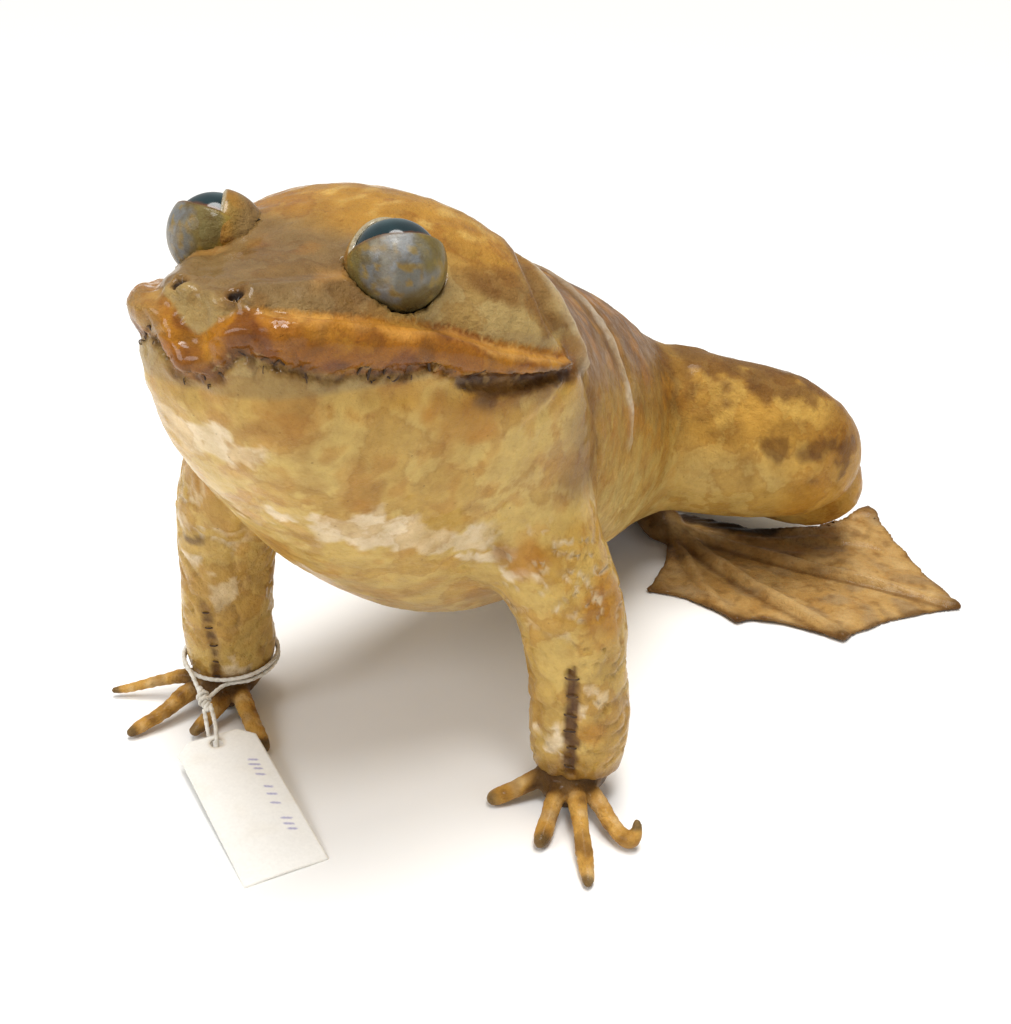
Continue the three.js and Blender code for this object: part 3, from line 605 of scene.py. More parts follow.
# Linear colours of the varnished hide.
CREAM = (0.55, 0.40, 0.140)
OCHRE = (0.46, 0.285, 0.064)
AMBER = (0.37, 0.165, 0.014)
BROWN = (0.19, 0.090, 0.018)
GREY_BROWN = (0.190, 0.120, 0.050)
DOME = (0.37, 0.195, 0.030)
TEMPLE = (0.36, 0.260, 0.110)
ORANGE = (0.31, 0.128, 0.006)
DEEP_ORANGE = (0.16, 0.050, 0.003)
# Pale peach painted along the top of the lip band as a highlight.
LIP_PAINTED_HIGHLIGHT = (0.58, 0.34, 0.10)
UMBER = (0.085, 0.036, 0.010)
BLACK_BROWN = (0.020, 0.009, 0.004)
LEG_GOLD = (0.54, 0.325, 0.070)
BLOTCH_BROWN = (0.120, 0.048, 0.009)
FILLER = (0.70, 0.60, 0.47)
PALE_FOLD = (0.66, 0.57, 0.45)

# Pale filler patches: middle and half sizes.
FILLER_PATCHES = (
    ((19, -93, 77), (11, 8, 5.5)), ((28, -78, 70.5), (8, 10, 4)), ((12, -97, 78.4), (6, 5, 3)),
    ((24, -85.5, 74), (7, 7, 5)), ((32, -69, 65), (5, 5, 2)), ((4, -101, 82), (3, 3, 1.6)),
    ((-1, -113, 97.6), (10, 6, 3.8)), ((-10, -110, 101), (4, 5, 4)), ((54, -62, 32), (2.4, 5, 3.6)),
    ((46.5, -64, 20), (3.4, 5, 5)), ((36, -64, 60), (5, 6, 2)), ((-46, -71, 45), (3.4, 4, 2.2)),
    ((-39, -70, 36), (3, 4, 4)), ((-38, -68, 14), (4, 5, 3)), ((-50, -70, 54), (4, 6, 2)),
)
# Brown and amber stains on the arms and throat: middle, half sizes and colour.
STAINS = (
    ((-44.7, -71.7, 49.6), (2.6, 3, 1.5), UMBER), ((35.4, -61, 49.6), (3.2, 3, 2.6), BROWN),
    ((34, -80, 100), (6, 6, 4.5), AMBER), ((38.5, -76, 103.2), (5, 6, 2.2), BROWN),
    ((42, -69, 102), (3, 5, 2.2), BROWN), ((35.5, -79, 101.5), (2.6, 3, 2.6), UMBER),
    ((30, -88, 104.5), (4, 4, 2.5), AMBER), ((-34, -80, 100), (6, 6, 4.5), AMBER),
    ((53, -60, 24), (4, 5, 3.5), AMBER), ((39, -66, 64), (5, 5, 4), AMBER),
    ((55, -56, 52), (5, 6, 8), AMBER), ((-52, -62, 36), (4, 6, 8), AMBER),
)
# Dark blotches on the legs, sides and back.
BLOTCHES = (
    ((74, 76, 45), (5, 7, 4)), ((70, 68, 46), (6, 6, 2.6)), ((65, 64.5, 43.6), (4.6, 5, 2.4)),
    ((75, 74, 38.5), (2.6, 3, 3)), ((57, 58, 45), (3, 3, 2.4)), ((59, 59, 47.5), (1.8, 3, 1.6)),
    ((68.6, 66.7, 34.8), (3.4, 3, 1.6)), ((-72, 76, 42), (6, 8, 6)),
    ((-62, 66, 38), (6, 6, 6)), ((-54, 60, 47), (7, 6, 4)), ((66, 98, 28), (6, 6, 6)),
    ((-66, 98, 28), (6, 6, 6)), ((22, 40, 86), (8, 10, 5)), ((-18, 52, 80), (8, 10, 5)),
    ((-30, -10, 96), (7, 10, 7)), ((8, 20, 98), (9, 9, 5)), ((-51, -62, 46), (3, 5, 3)),
)
# Fainter, rounder marks on the thighs.
SOFT_BLOTCHES = (
    ((36.5, 50.5, 58), (4.5, 4, 3.4)), ((45, 53, 51), (4, 4, 3)), ((-40, 52, 56), (5, 5, 4)),
    ((62, 62, 52), (6, 6, 2.4)), ((-52, 58, 52), (5, 5, 3)),
)


def paint_hide(hide, p, slope):
    x, y, z = p.T
    soft = wobble(p, 14, 5)
    loose = wobble(p, 6, 3.2, 4)
    ragged = wobble(p, 2.4, 1.6, 8)
    torn = wobble(ragged, 5, 5.0, 10)
    xs, ys, zs = soft.T
    top, bottom, half, wide = spline_rows(TRUNK, ys).T
    rise = (zs - wide) / np.where(zs > wide, top - wide, wide - bottom)
    mottle = roughened(p, 11, 1.0, 2)
    fine = roughened(p, 4.5, 1.0, 7)
    on_trunk = 1 - smooth_step(1, 7, np.abs(trunk_field(p)))

    c = mix(np.tile(np.array(OCHRE), (len(p), 1)), CREAM, on_trunk * smooth_step(0.1, -0.5, rise))
    c = mix(c, CREAM, 0.7 * smooth_step(0.1, 0.35, mottle) * smooth_step(-40, -60, y))
    c = mix(c, AMBER, 0.5 * smooth_step(-0.1, -0.4, mottle + 0.3 * fine))
    c = mix(c, AMBER, 0.35 * smooth_step(0.15, 0.3, fine))
    arms = smooth_step(-36, -46, y) * smooth_step(72, 60, z) * smooth_step(24, 30, np.abs(x))
    c = mix(c, CREAM, 0.55 * arms)
    behind = smooth_step(-52, -40, ys)
    c = mix(c, BROWN, on_trunk * behind * smooth_step(-0.1, 0.6, rise + 0.3 * mottle))
    c = mix(c, AMBER, 0.5 * on_trunk * behind * smooth_step(-0.3, 0.2, rise) * smooth_step(0.1, 0.4, fine + mottle))
    # Painted shade: the neck behind the jaw, under the overhanging head, is darkened with brown.
    collar = on_trunk * smooth_step(-62, -54, ys) * smooth_step(-30, -42, ys) * smooth_step(68, 76, zs)
    c = mix(c, BROWN, 0.6 * collar)
    legs = smooth_step(30, 45, ys) * (1 - on_trunk)
    c = mix(c, LEG_GOLD, legs)
    c = mix(c, CREAM, 0.7 * legs * smooth_step(0.3, -0.2, slope[:, 2]) * smooth_step(64, 54, np.abs(xs)))
    c = mix(c, BROWN, 0.9 * legs * smooth_step(0.64, 0.76, slope[:, 2] + 0.15 * mottle + 0.3 * fine))
    c = mix(c, BROWN, 0.8 * legs * smooth_step(62, 70, np.abs(xs)) * smooth_step(0.1, 0.4, slope[:, 2] + 0.2 * fine))
    c = mix(c, UMBER, 0.4 * legs * smooth_step(0.85, 1.0, slope[:, 2] + 0.35 * fine))
    c = mix(c, AMBER, 0.4 * legs * smooth_step(60, 72, np.abs(xs)))
    # Painted shadow: dark umber low on the inner shank, tucked under the thigh.
    c = mix(c, UMBER, 0.8 * smooth_step(24, 14, zs) * smooth_step(36, 60, ys) * smooth_step(34, 26, np.abs(xs)))

    head = smooth_step(-50, -58, y) * smooth_step(-0.06, 0.08, (z - 110) / 12)
    c = mix(c, TEMPLE, head)
    c = mix(c, DOME, head * smooth_step(119, 126, zs + 0.15 * (ys + 60)) * smooth_step(-92, -78, ys))
    c = mix(c, CREAM, 0.4 * head * smooth_step(126, 130, z) * smooth_step(0.15, 0.4, fine) * smooth_step(-80, -70, y))
    c = mix(c, GREY_BROWN, head * smooth_step(-74, -86, ys) * smooth_step(120, 125.5, zs)
            * smooth_step(-116, -109, ys))
    for side in (1, -1):
        c = mix(c, BROWN, 0.8 * patch(loose, (side * 33, -70.5, 122.6), (6.5, 6, 2.8), 0.4) * head)
        c = mix(c, BROWN, 0.85 * patch(loose, (side * 38.6, -64, 119), (2.6, 3.5, 5), 0.4) * head)
        # Painted highlight: a pale cream patch on the dome behind each eye.
        c = mix(c, CREAM, 0.5 * patch(loose, (side * 27, -76, 126), (3, 4, 2), 0.4))
        c = mix(c, ORANGE, 0.3 * patch(loose, (side * 5, -91, 129), (3, 2.4, 3), 0.4))
        c = mix(c, (0.46, 0.29, 0.10), 0.75 * patch(loose, (side * 24, -91, 121.8), (6, 6, 2.6), 0.4))
        c = mix(c, (0.42, 0.25, 0.09), 0.6 * patch(loose, (side * 14, -97, 127), (2.6, 4, 3), 0.4))
    c = mix(c, TEMPLE, 0.55 * patch(loose, (0, -114, 122.5), (9, 6, 4.5), 0.4))
    c = mix(c, BROWN, 0.6 * patch(loose, (7, -113, 126), (4, 3, 2), 0.5))

    lip = np.minimum(*[swept_field(p, side) for side in LIPS])
    band = (1 - smooth_step(0.25, 1.0, lip)) * smooth_step(-47, -52, y)
    edge_on = smooth_step(-5, -9, x) * smooth_step(-107, -111, y) * smooth_step(117, 119.5, z)
    band = band * (1 - 0.75 * edge_on)
    along_lip = roughened(p * (1, 1, 0.8), 6.5, 1.0, 12)
    c = mix(c, ORANGE, band)
    c = mix(c, (0.42, 0.205, 0.020), 0.8 * band * smooth_step(0.1, 0.35, roughened(p, 7, 1.0, 15)))
    c = mix(c, DEEP_ORANGE, band * 0.85 * smooth_step(0.1, 0.3, along_lip + 0.3 * fine))
    c = mix(c, UMBER, 0.4 * band * smooth_step(0.15, 0.5, roughened(p * (1, 1, 0.8), 4.2, 1.0, 75)))
    # Painted highlight: the lip band is made paler where it faces up.
    c = mix(c, LIP_PAINTED_HIGHLIGHT, 0.55 * band * smooth_step(0.5, 0.85, slope[:, 2] + 0.4 * fine) * (y > -112))
    c = mix(c, DEEP_ORANGE, 0.7 * patch(loose, (1, -117, 114.6), (7, 4, 2.6), 0.3))
    c = mix(c, DEEP_ORANGE, 0.8 * np.exp(-(curve_distance(ragged, SNOUT_FOLD, 4.0) / 0.8) ** 2))

    mouth = np.minimum(*[curve_distance(ragged, side, 6.0) for side in both_sides(MOUTH)])
    line = np.minimum(*[curve_distance(p, side, 6.0) for side in both_sides(MOUTH)])
    below = smooth_step(-47, -53, y)
    c = mix(c, BROWN, 0.45 * below * smooth_step(2.3, 1.0, mouth + 0.8 * fine))
    c = mix(c, UMBER, 0.6 * below * smooth_step(1.0, 0.5, mouth))
    c = mix(c, (0.36, 0.25, 0.12), 0.8 * below * smooth_step(0.1, 0.3, roughened(p, 2.2, 1.0, 71))
            * smooth_step(1.6, 1.2, line) * smooth_step(0.7, 1.0, line))
    c = mix(c, BLACK_BROWN, below * smooth_step(0.65, 0.3, line))
    parting = np.minimum(*[swept_field(ragged * 0.5 + p * 0.5, side) for side in PARTINGS])
    # Painted shadow: the recess where the lips stand apart is filled with dark brown, with paler brown flecks.
    c = mix(c, UMBER, 0.85 * smooth_step(1.7 + 0.8 * fine, 0.6, parting))
    c = mix(c, (0.045, 0.015, 0.005), 0.95 * smooth_step(0.5, -0.3, parting + 0.5 * fine))
    c = mix(c, (0.30, 0.18, 0.06), 0.6 * smooth_step(1.6, 0.6, parting) * smooth_step(0.2, 0.4, roughened(p, 2.0, 1.0, 73)))

    for centre, size in FILLER_PATCHES:
        share = patch(torn, centre, size, 0.14)
        c = mix(c, FILLER, share * (0.75 + 0.25 * smooth_step(-0.3, 0.2, fine)))
    for centre, size, colour in STAINS:
        c = mix(c, colour, 0.75 * patch(loose, centre, size, 0.35))
    for centre, size in BLOTCHES:
        c = mix(c, BLOTCH_BROWN, 0.7 * patch(0.35 * loose + 0.65 * torn, centre, size, 0.22))
    for centre, size in SOFT_BLOTCHES:
        c = mix(c, BROWN, 0.45 * patch(loose, centre, size, 0.5))
    shoulder = smooth_step(-40, -50, y) * smooth_step(74, 66, z) * smooth_step(28, 34, np.abs(x)) * smooth_step(44, 50, z)
    cracks = np.abs(roughened(p * (1, 1, 1.6), 7, 1.0, 61))
    c = mix(c, FILLER, 0.75 * shoulder * smooth_step(0.06, 0.02, cracks))
    for name, share in (("neck_fold_front", 0.45), ("neck_fold_back", 0.7)):
        fold = np.minimum(*[curve_distance(p, side, 5.0) for side in both_sides(FOLDS[name][0])])
        share = share * (0.55 + 0.45 * smooth_step(-0.3, 0.3, mottle))
        c = mix(c, PALE_FOLD, share * smooth_step(4.0, 1.2, fold + 1.2 * fine))
    # Painted shadow: a brown band just inside the edge of the head's dome.
    rim = np.minimum(*[curve_distance(loose, side, 7.0) for side in both_sides(FOLDS["dome_edge"][0])])
    c = mix(c, BROWN, 0.75 * smooth_step(6.0, 2.5, rim) * head * (z > 112))
    # Painted shade: umber darkening along the dome edge, neck and hip creases.
    for name in ("dome_edge", "neck_crease", "hip_crease"):
        fold = np.minimum(*[curve_distance(p, side, 5.0) for side in both_sides(FOLDS[name][0])])
        c = mix(c, UMBER, 0.75 * smooth_step(1.7, 0.5, fold + 0.6 * fine))
    for side in (1, -1):
        pit = nostril_distance(p, side)
        c = mix(c, BROWN, 0.5 * smooth_step(2.2, 1.3, pit))
        c = mix(c, BLACK_BROWN, smooth_step(1.25, 0.85, pit))
    split = curve_distance(ragged * 0.4 + p * 0.6, ARM_SEAMS["left"], 6.0)
    c = mix(c, BROWN, 0.9 * smooth_step(1.9, 1.2, split))
    c = mix(c, UMBER, 0.9 * np.exp(-((split - 1.0) / 0.45) ** 2))
    c = mix(c, BLACK_BROWN, 0.9 * smooth_step(1.6, 0.8, split) * smooth_step(17, 13, z))
    slit = curve_distance(ragged * 0.4 + p * 0.6, ARM_SEAMS["right"], 6.0)
    dots = smooth_step(0.2, 0.7, np.cos(1.35 * z)) + smooth_step(17, 14, z)
    c = mix(c, BLACK_BROWN, 0.9 * smooth_step(1.3, 0.6, slit) * np.clip(dots, 0, 1))
    c = mix(c, BROWN, 0.5 * smooth_step(2.0, 1.0, slit))
    c = mix(c, BROWN, 0.6 * smooth_step(16, 10, z + 4 * mottle) * smooth_step(-40, -50, y))
    belly = curve_distance(loose * 0.5 + p * 0.5, BELLY_SEAM, 5.0)
    c = mix(c, UMBER, 0.7 * smooth_step(1.8, 0.5, belly))
    wet = 0.75 + 0.25 * band - 0.62 * on_trunk * behind - 0.4 * legs
    wet = wet * (1 - 0.8 * smooth_step(0.5, -0.3, parting)) * (1 - 0.5 * collar)
    paint(hide, c * (1 + 0.14 * fine[:, None] + 0.10 * mottle[:, None]), wet)


SNOUT_FOLD = ((-8.2, -114.6, 124.2), (-8.8, -114.8, 122.5), (-8.6, -115.2, 120), (-6.4, -116.4, 118.4))
BELLY_SEAM = ((0, -40, 30.4), (0.5, -25, 26.5), (-0.5, -10, 22.6), (0.4, 8, 18), (0, 22, 15), (0, 36, 12.6))


# ---- materials ----
def nodes_of(name):
    material = bpy.data.materials.new(name)
    material.use_nodes = True
    tree = material.node_tree
    return material, tree, tree.nodes["Principled BSDF"]


def add(tree, kind, **settings):
    node = tree.nodes.new(kind)
    for key, value in settings.items():
        setattr(node, key, value)
    return node


def noise_of(tree, size, detail=6.0, rough=0.6, coordinates=None):
    """Noise with a grain of the given size in metres."""
    node = add(tree, "ShaderNodeTexNoise")
    node.inputs["Scale"].default_value = 1 / size
    node.inputs["Detail"].default_value = detail
    node.inputs["Roughness"].default_value = rough
    if coordinates is None:
        coordinates = add(tree, "ShaderNodeTexCoord").outputs["Object"]
    tree.links.new(coordinates, node.inputs["Vector"])
    return node.outputs["Fac"]


def cells_of(tree, size, feature="F1"):
    node = add(tree, "ShaderNodeTexVoronoi", feature=feature)
    node.inputs["Scale"].default_value = 1 / size
    tree.links.new(add(tree, "ShaderNodeTexCoord").outputs["Object"], node.inputs["Vector"])
    return node.outputs["Distance"]


def ramp(tree, value, *stops):
    """A colour ramp from (place, colour) stops."""
    node = add(tree, "ShaderNodeValToRGB")
    while len(node.color_ramp.elements) < len(stops):
        node.color_ramp.elements.new(0.5)
    for element, (place, colour) in zip(node.color_ramp.elements, stops):
        element.position = place
        element.color = (*colour, 1) if len(colour) == 3 else colour
    tree.links.new(value, node.inputs["Fac"])
    return node.outputs["Color"]


def grey(value):
    return (value, value, value)


def blend_colours(tree, kind, share, a, b):
    node = add(tree, "ShaderNodeMix", data_type="RGBA", blend_type=kind)
    for socket, value in (("Factor", share), ("A", a), ("B", b)):
        name = {"Factor": 0, "A": 6, "B": 7}[socket]
        if isinstance(value, bpy.types.NodeSocket):
            tree.links.new(value, node.inputs[name])
        else:
            node.inputs[name].default_value = value if socket == "Factor" else (*value, 1)
    return node.outputs[2]


def bump(tree, shader, height, strength, distance):
    node = add(tree, "ShaderNodeBump")
    node.inputs["Strength"].default_value = strength
    node.inputs["Distance"].default_value = distance
    tree.links.new(height, node.inputs["Height"])
    tree.links.new(node.outputs["Normal"], shader.inputs["Normal"])
    return node


VARNISH = (1.0, 0.90, 0.66, 1)


def skin_material(name, coat, roughness, pore=0.0007, relief=0.6, speckle=0.5, stained=0.55):
    """Varnished dried skin over the painted tint: mottling, dark specks, fine wrinkles."""
    material, tree, shader = nodes_of(name)
    tint = add(tree, "ShaderNodeAttribute", attribute_name="tint")
    mottle = ramp(tree, noise_of(tree, 0.006, 8, 0.65), (0.3, (0.8, 0.72, 0.6)), (0.5, grey(1.0)),
                  (0.72, (1.16, 1.18, 1.2)))
    colour = blend_colours(tree, "MULTIPLY", 0.85, tint.outputs["Color"], mottle)
    cloud = noise_of(tree, 0.013, 5, 0.55)
    stain = ramp(tree, cloud, (0.50, grey(1.0)), (0.545, (0.84, 0.70, 0.42)))
    colour = blend_colours(tree, "MULTIPLY", stained, colour, stain)
    tide = ramp(tree, cloud, (0.49, grey(1.0)), (0.525, (0.6, 0.42, 0.2)), (0.555, grey(1.0)))
    colour = blend_colours(tree, "MULTIPLY", 0.6 * stained, colour, tide)
    streak = ramp(tree, noise_of(tree, 0.0016, 5, 0.7), (0.3, (0.74, 0.64, 0.5)), (0.5, grey(1.0)), (0.7, (1.1, 1.08, 1.04)))
    colour = blend_colours(tree, "MULTIPLY", 0.4, colour, streak)
    specks = ramp(tree, cells_of(tree, 0.0042), (0.03, (0.25, 0.16, 0.09)), (0.075, grey(1.0)))
    colour = blend_colours(tree, "MULTIPLY", speckle, colour, specks)
    tree.links.new(colour, shader.inputs["Base Color"])
    gloss = ramp(tree, noise_of(tree, 0.004, 4, 0.6), (0.35, grey(roughness - 0.08)), (0.65, grey(roughness + 0.12)))
    tree.links.new(gloss, shader.inputs["Roughness"])
    wet = add(tree, "ShaderNodeMath", operation="MULTIPLY")
    tree.links.new(tint.outputs["Alpha"], wet.inputs[0])
    wet.inputs[1].default_value = coat
    tree.links.new(wet.outputs[0], shader.inputs["Coat Weight"])
    film = ramp(tree, noise_of(tree, 0.003, 4, 0.6), (0.35, grey(0.05)), (0.65, grey(0.2)))
    tree.links.new(film, shader.inputs["Coat Roughness"])
    shader.inputs["Coat Tint"].default_value = VARNISH
    shader.inputs["Coat IOR"].default_value = 1.36
    shader.inputs["Specular IOR Level"].default_value = 0.14
    shader.inputs["Subsurface Weight"].default_value = 0.06
    shader.inputs["Subsurface Radius"].default_value = (1.0, 0.5, 0.25)
    shader.inputs["Subsurface Scale"].default_value = 0.002
    crumple = bump(tree, shader, noise_of_colour(tree, 6 * pore), 0.7 * relief, 0.0011)
    height = blend_colours(tree, "MIX", 0.5, noise_of_colour(tree, pore), noise_of_colour(tree, 3 * pore))
    fine = bump(tree, shader, height, relief, 0.0004)
    tree.links.new(crumple.outputs["Normal"], fine.inputs["Normal"])
    return material


def noise_of_colour(tree, size):
    return ramp(tree, noise_of(tree, size, 6, 0.6), (0.3, grey(0.0)), (0.7, grey(1.0)))


def mottled_material(name, dark, mid, pale, size, roughness, metallic=0.0, relief=0.3, coat=0.0, stretch=(1, 1, 1)):
    """A finish whose colour wanders between three tones."""
    material, tree, shader = nodes_of(name)
    mapping = add(tree, "ShaderNodeMapping")
    mapping.inputs["Scale"].default_value = stretch
    tree.links.new(add(tree, "ShaderNodeTexCoord").outputs["Object"], mapping.inputs["Vector"])
    fac = noise_of(tree, size, 8, 0.65, mapping.outputs["Vector"])
    tree.links.new(ramp(tree, fac, (0.32, dark), (0.5, mid), (0.68, pale)), shader.inputs["Base Color"])
    tree.links.new(ramp(tree, fac, (0.3, grey(min(roughness + 0.1, 1))), (0.7, grey(roughness))),
                   shader.inputs["Roughness"])
    shader.inputs["Metallic"].default_value = metallic
    shader.inputs["Coat Weight"].default_value = coat
    shader.inputs["Coat Roughness"].default_value = 0.1
    bump(tree, shader, noise_of(tree, size / 6, 5, 0.6, mapping.outputs["Vector"]), relief, size / 12)
    return material


def dress(obj, material):
    obj.data.materials.clear()
    obj.data.materials.append(material)


# ---- eyes ----
def frame_to(direction):
    """Rotation whose third row is the given direction."""
    w = np.array(direction, float) / np.linalg.norm(direction)
    u = np.cross((0, 0, 1) if abs(w[2]) < 0.9 else (0, 1, 0), w)
    u /= np.linalg.norm(u)
    return np.array((u, np.cross(w, u), w))


def cap_mesh(middle, direction, reach, outer, rings=34, around=96):
    """A thick cap of a ball on the far side of a plane: outer(angle, turn) gives its outer radius."""
    turn = frame_to(direction)
    widest = math.acos(max(-1, min(1, reach / EYE_RADIUS)))
    vertices, faces = [], []
    inner = EYE_RADIUS + 0.1

    def add_ring(angle, radius_of):
        for k in range(around):
            phi = 2 * math.pi * k / around
            at = np.array((math.sin(angle) * math.cos(phi), math.sin(angle) * math.sin(phi), math.cos(angle)))
            vertices.append(middle + radius_of(angle, phi) * (at @ turn))

    angles = widest * np.linspace(0.02, 1, rings)
    for angle in angles:
        add_ring(angle, outer)
    for angle in angles[::-1]:
        add_ring(angle, lambda a, b: inner)
    for ring in range(2 * rings - 1):
        for k in range(around):
            a, b = ring * around + k, ring * around + (k + 1) % around
            faces.append((a, a + around, b + around, b))
    faces.append(tuple(range(around)))
    faces.append(tuple(range(len(vertices) - 1, len(vertices) - around - 1, -1)))
    return np.array(vertices), faces, widest


def rounded_edge(angle, widest, thick):
    """Radius of a lid that stays thick and rounds off at its rim."""
    left = (widest - angle) * EYE_RADIUS / thick
    return EYE_RADIUS + 0.1 + thick * math.sqrt(max(1 - max(1 - left, 0) ** 2, 0.0))


LID_OLIVE = (0.150, 0.118, 0.040)
LID_GREY = (0.150, 0.160, 0.175)
LID_YELLOW = (0.26, 0.175, 0.025)
LID_DARK = (0.048, 0.038, 0.018)


def make_eyes():
    for name, (middle, side) in EYES.items():
        make_glass(name, middle, side)
        lid_face, lid_reach = LOWER_LIDS[name]
        brow_face, brow_reach = UPPER_LIDS[name]
        widest = math.acos(lid_reach / EYE_RADIUS)
        wave = 0.10 if name == "left" else 0.07

        def lower(angle, phi):
            ripple = 0.05 * math.sin(3 * phi + 1) + 0.04 * math.sin(7 * phi)
            return rounded_edge(angle, widest * (1 - wave * 0.2 * math.sin(2 * phi)), LID_THICKNESS) + ripple

        vertices, faces, _ = cap_mesh(middle, lid_face * side, lid_reach, lower)
        lid = piece(f"{name}_lower_lid", vertices, faces)
        paint_lower_lid(lid, middle, side, LOWER_LIDS[name])
        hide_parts(f"{name}_lower_eyelid")
        dress(lid, LID_SKIN)

        brow_widest = math.acos(brow_reach / EYE_RADIUS)

        def upper(angle, phi):
            full = max(0, 1 - angle / brow_widest)
            return rounded_edge(angle, brow_widest, 0.7) + 1.3 * full + 0.12 * math.sin(5 * phi)

        vertices, faces, _ = cap_mesh(middle, brow_face * side, brow_reach, upper)
        brow = piece(f"{name}_upper_lid", vertices, faces)
        paint_brow(brow, middle, side, UPPER_LIDS[name])
        dress(brow, HIDE_SKIN)


def make_glass(name, middle, side):
    rings, around = 48, 72
    vertices, faces = [(*middle + (0, 0, EYE_RADIUS),)], []
    for ring in range(1, rings):
        angle = math.pi * ring / rings
        for k in range(around):
            phi = 2 * math.pi * k / around
            vertices.append((middle[0] + EYE_RADIUS * math.sin(angle) * math.cos(phi),
                             middle[1] + EYE_RADIUS * math.sin(angle) * math.sin(phi),
                             middle[2] + EYE_RADIUS * math.cos(angle)))
    vertices.append((*middle - (0, 0, EYE_RADIUS),))
    last = len(vertices) - 1
    for k in range(around):
        faces.append((0, 1 + k, 1 + (k + 1) % around))
        faces.append((last, last - around + (k + 1) % around, last - around + k))
    for ring in range(rings - 2):
        for k in range(around):
            a, b = 1 + ring * around + k, 1 + ring * around + (k + 1) % around
            faces.append((a, a + around, b + around, b))
    glass = piece(f"{name}_eye_ball", vertices, faces)
    p = millimetres(glass)
    lid = facing_of((p - middle) * side, LOWER_LIDS[name]) - LOWER_LIDS[name][1]
    c = np.tile(np.array((0.008, 0.022, 0.026)), (len(p), 1))
    c = mix(c, (0.022, 0.050, 0.055), smooth_step(-2.1, -4.3, lid))
    c = mix(c, (0.12, 0.045, 0.018), smooth_step(-0.6, -0.2, lid))
    paint(glass, c)
    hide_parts(f"{name}_glass_eye")
    dress(glass, EYE_GLASS)


def paint_lower_lid(lid, middle, side, shape):
    p = millimetres(lid)
    d = (p - middle) * side
    facing = facing_of(d, shape)
    noise_a = roughened(p, 3.4, 1.0, 21)
    noise_b = roughened(p, 1.5, 1.0, 23)
    noise_c = roughened(p, 5.5, 1.0, 25)
    c = np.tile(np.array(LID_OLIVE), (len(p), 1))
    centre = smooth_step(5.8, 7.4, d @ np.array((0.55, -0.80, 0.24)) + 2.4 * noise_a)
    c = mix(c, LID_GREY, centre)
    c = mix(c, LID_YELLOW, 0.8 * smooth_step(0.0, 0.35, noise_a + 0.6 * noise_b) * (1 - 0.8 * centre))
    c = mix(c, LID_YELLOW, 0.65 * smooth_step(0.15, 0.35, noise_b) * centre)
    c = mix(c, (0.36, 0.37, 0.39), 0.4 * centre * smooth_step(0.1, 0.4, noise_c))
    c = mix(c, LID_DARK, 0.6 * smooth_step(0.15, 0.5, -noise_c) * smooth_step(2, 7, facing))
    # Painted shade: the lid darkens towards its lower side.
    c = mix(c, LID_DARK, 0.75 * smooth_step(-1.5, -6.5, d[:, 2] + 1.1 * noise_a))
    c = mix(c, (0.12, 0.055, 0.02), 0.8 * smooth_step(0.5, 0, facing - shape[1]))
    paint(lid, c)


def paint_brow(brow, middle, side, shape):
    p = millimetres(brow)
    d = (p - middle) * side
    medial = facing_of(d, shape) - shape[1]
    noise_a = roughened(p, 3.5, 1.0, 31)
    c = np.tile(np.array((0.24, 0.15, 0.03)), (len(p), 1))
    c = mix(c, (0.36, 0.25, 0.10), smooth_step(0.0, 0.35, noise_a))
    c = mix(c, (0.30, 0.15, 0.02), 0.7 * smooth_step(0.1, 0.35, -noise_a))
    c = mix(c, GREY_BROWN, smooth_step(1, 5, medial + noise_a) * 0.8)
    c = mix(c, (0.36, 0.34, 0.30), smooth_step(0.9, 0.3, medial))
    paint(brow, c)


# ---- hands ----
PALM = (48, -56, 0)
# Points and radii along each finger of the left hand, outer to inner.
FINGERS = (
    ((51, -57, 6.2, 2.9), (57.5, -61.5, 5.2, 2.2), (63.4, -65.4, 3.0, 2.0), (67.2, -66.6, 2.4, 2.1),
     (68.3, -65.6, 4.4, 1.3), (68.0, -64.9, 6.4, 0.7)),
    ((50.5, -59, 6.4, 3.0), (54.6, -66.5, 6.4, 2.2), (57.8, -71.5, 4.8, 1.8), (60.4, -75.6, 3.0, 2.0),
     (63.2, -80.2, 2.0, 1.6), (64.4, -82.4, 1.5, 1.0)),
    ((47.5, -59, 6.2, 3.0), (48.6, -65.5, 5.8, 2.3), (49.2, -70, 4.0, 2.0), (49.8, -73.6, 2.6, 2.1),
     (50.2, -76.2, 2.0, 1.5)),
    ((45, -58, 6.2, 3.0), (41.6, -61, 5.6, 2.4), (38.2, -64, 3.6, 2.2), (35.4, -66.8, 2.4, 2.1),
     (34.2, -68, 2.1, 1.6)),
)
RIGHT_FINGERS = (
    ((-48, -65, 6.4, 3.0), (-54, -67, 6.2, 2.2), (-60, -70.4, 4.8, 1.6), (-66, -74, 2.9, 1.3),
     (-70, -76.4, 1.9, 0.9)),
    ((-47, -67, 6.2, 3.1), (-49.6, -73, 5.6, 2.6), (-51.0, -79.4, 3.8, 2.0), (-53.4, -85.4, 2.3, 1.8),
     (-54.4, -88, 1.7, 1.2)),
    ((-42, -66, 6.0, 2.8), (-40.4, -71, 5.0, 2.3), (-40.6, -76, 3.2, 2.0), (-40.9, -80.4, 2.2, 1.6)),
    ((-41, -64, 6.2, 3.0), (-36.4, -67.5, 5.4, 2.5), (-31.0, -71.5, 3.6, 2.3), (-25.5, -75.4, 2.4, 2.1),
     (-22.5, -77.6, 2.0, 1.6)),
)


FINGER_SLIM = 0.9


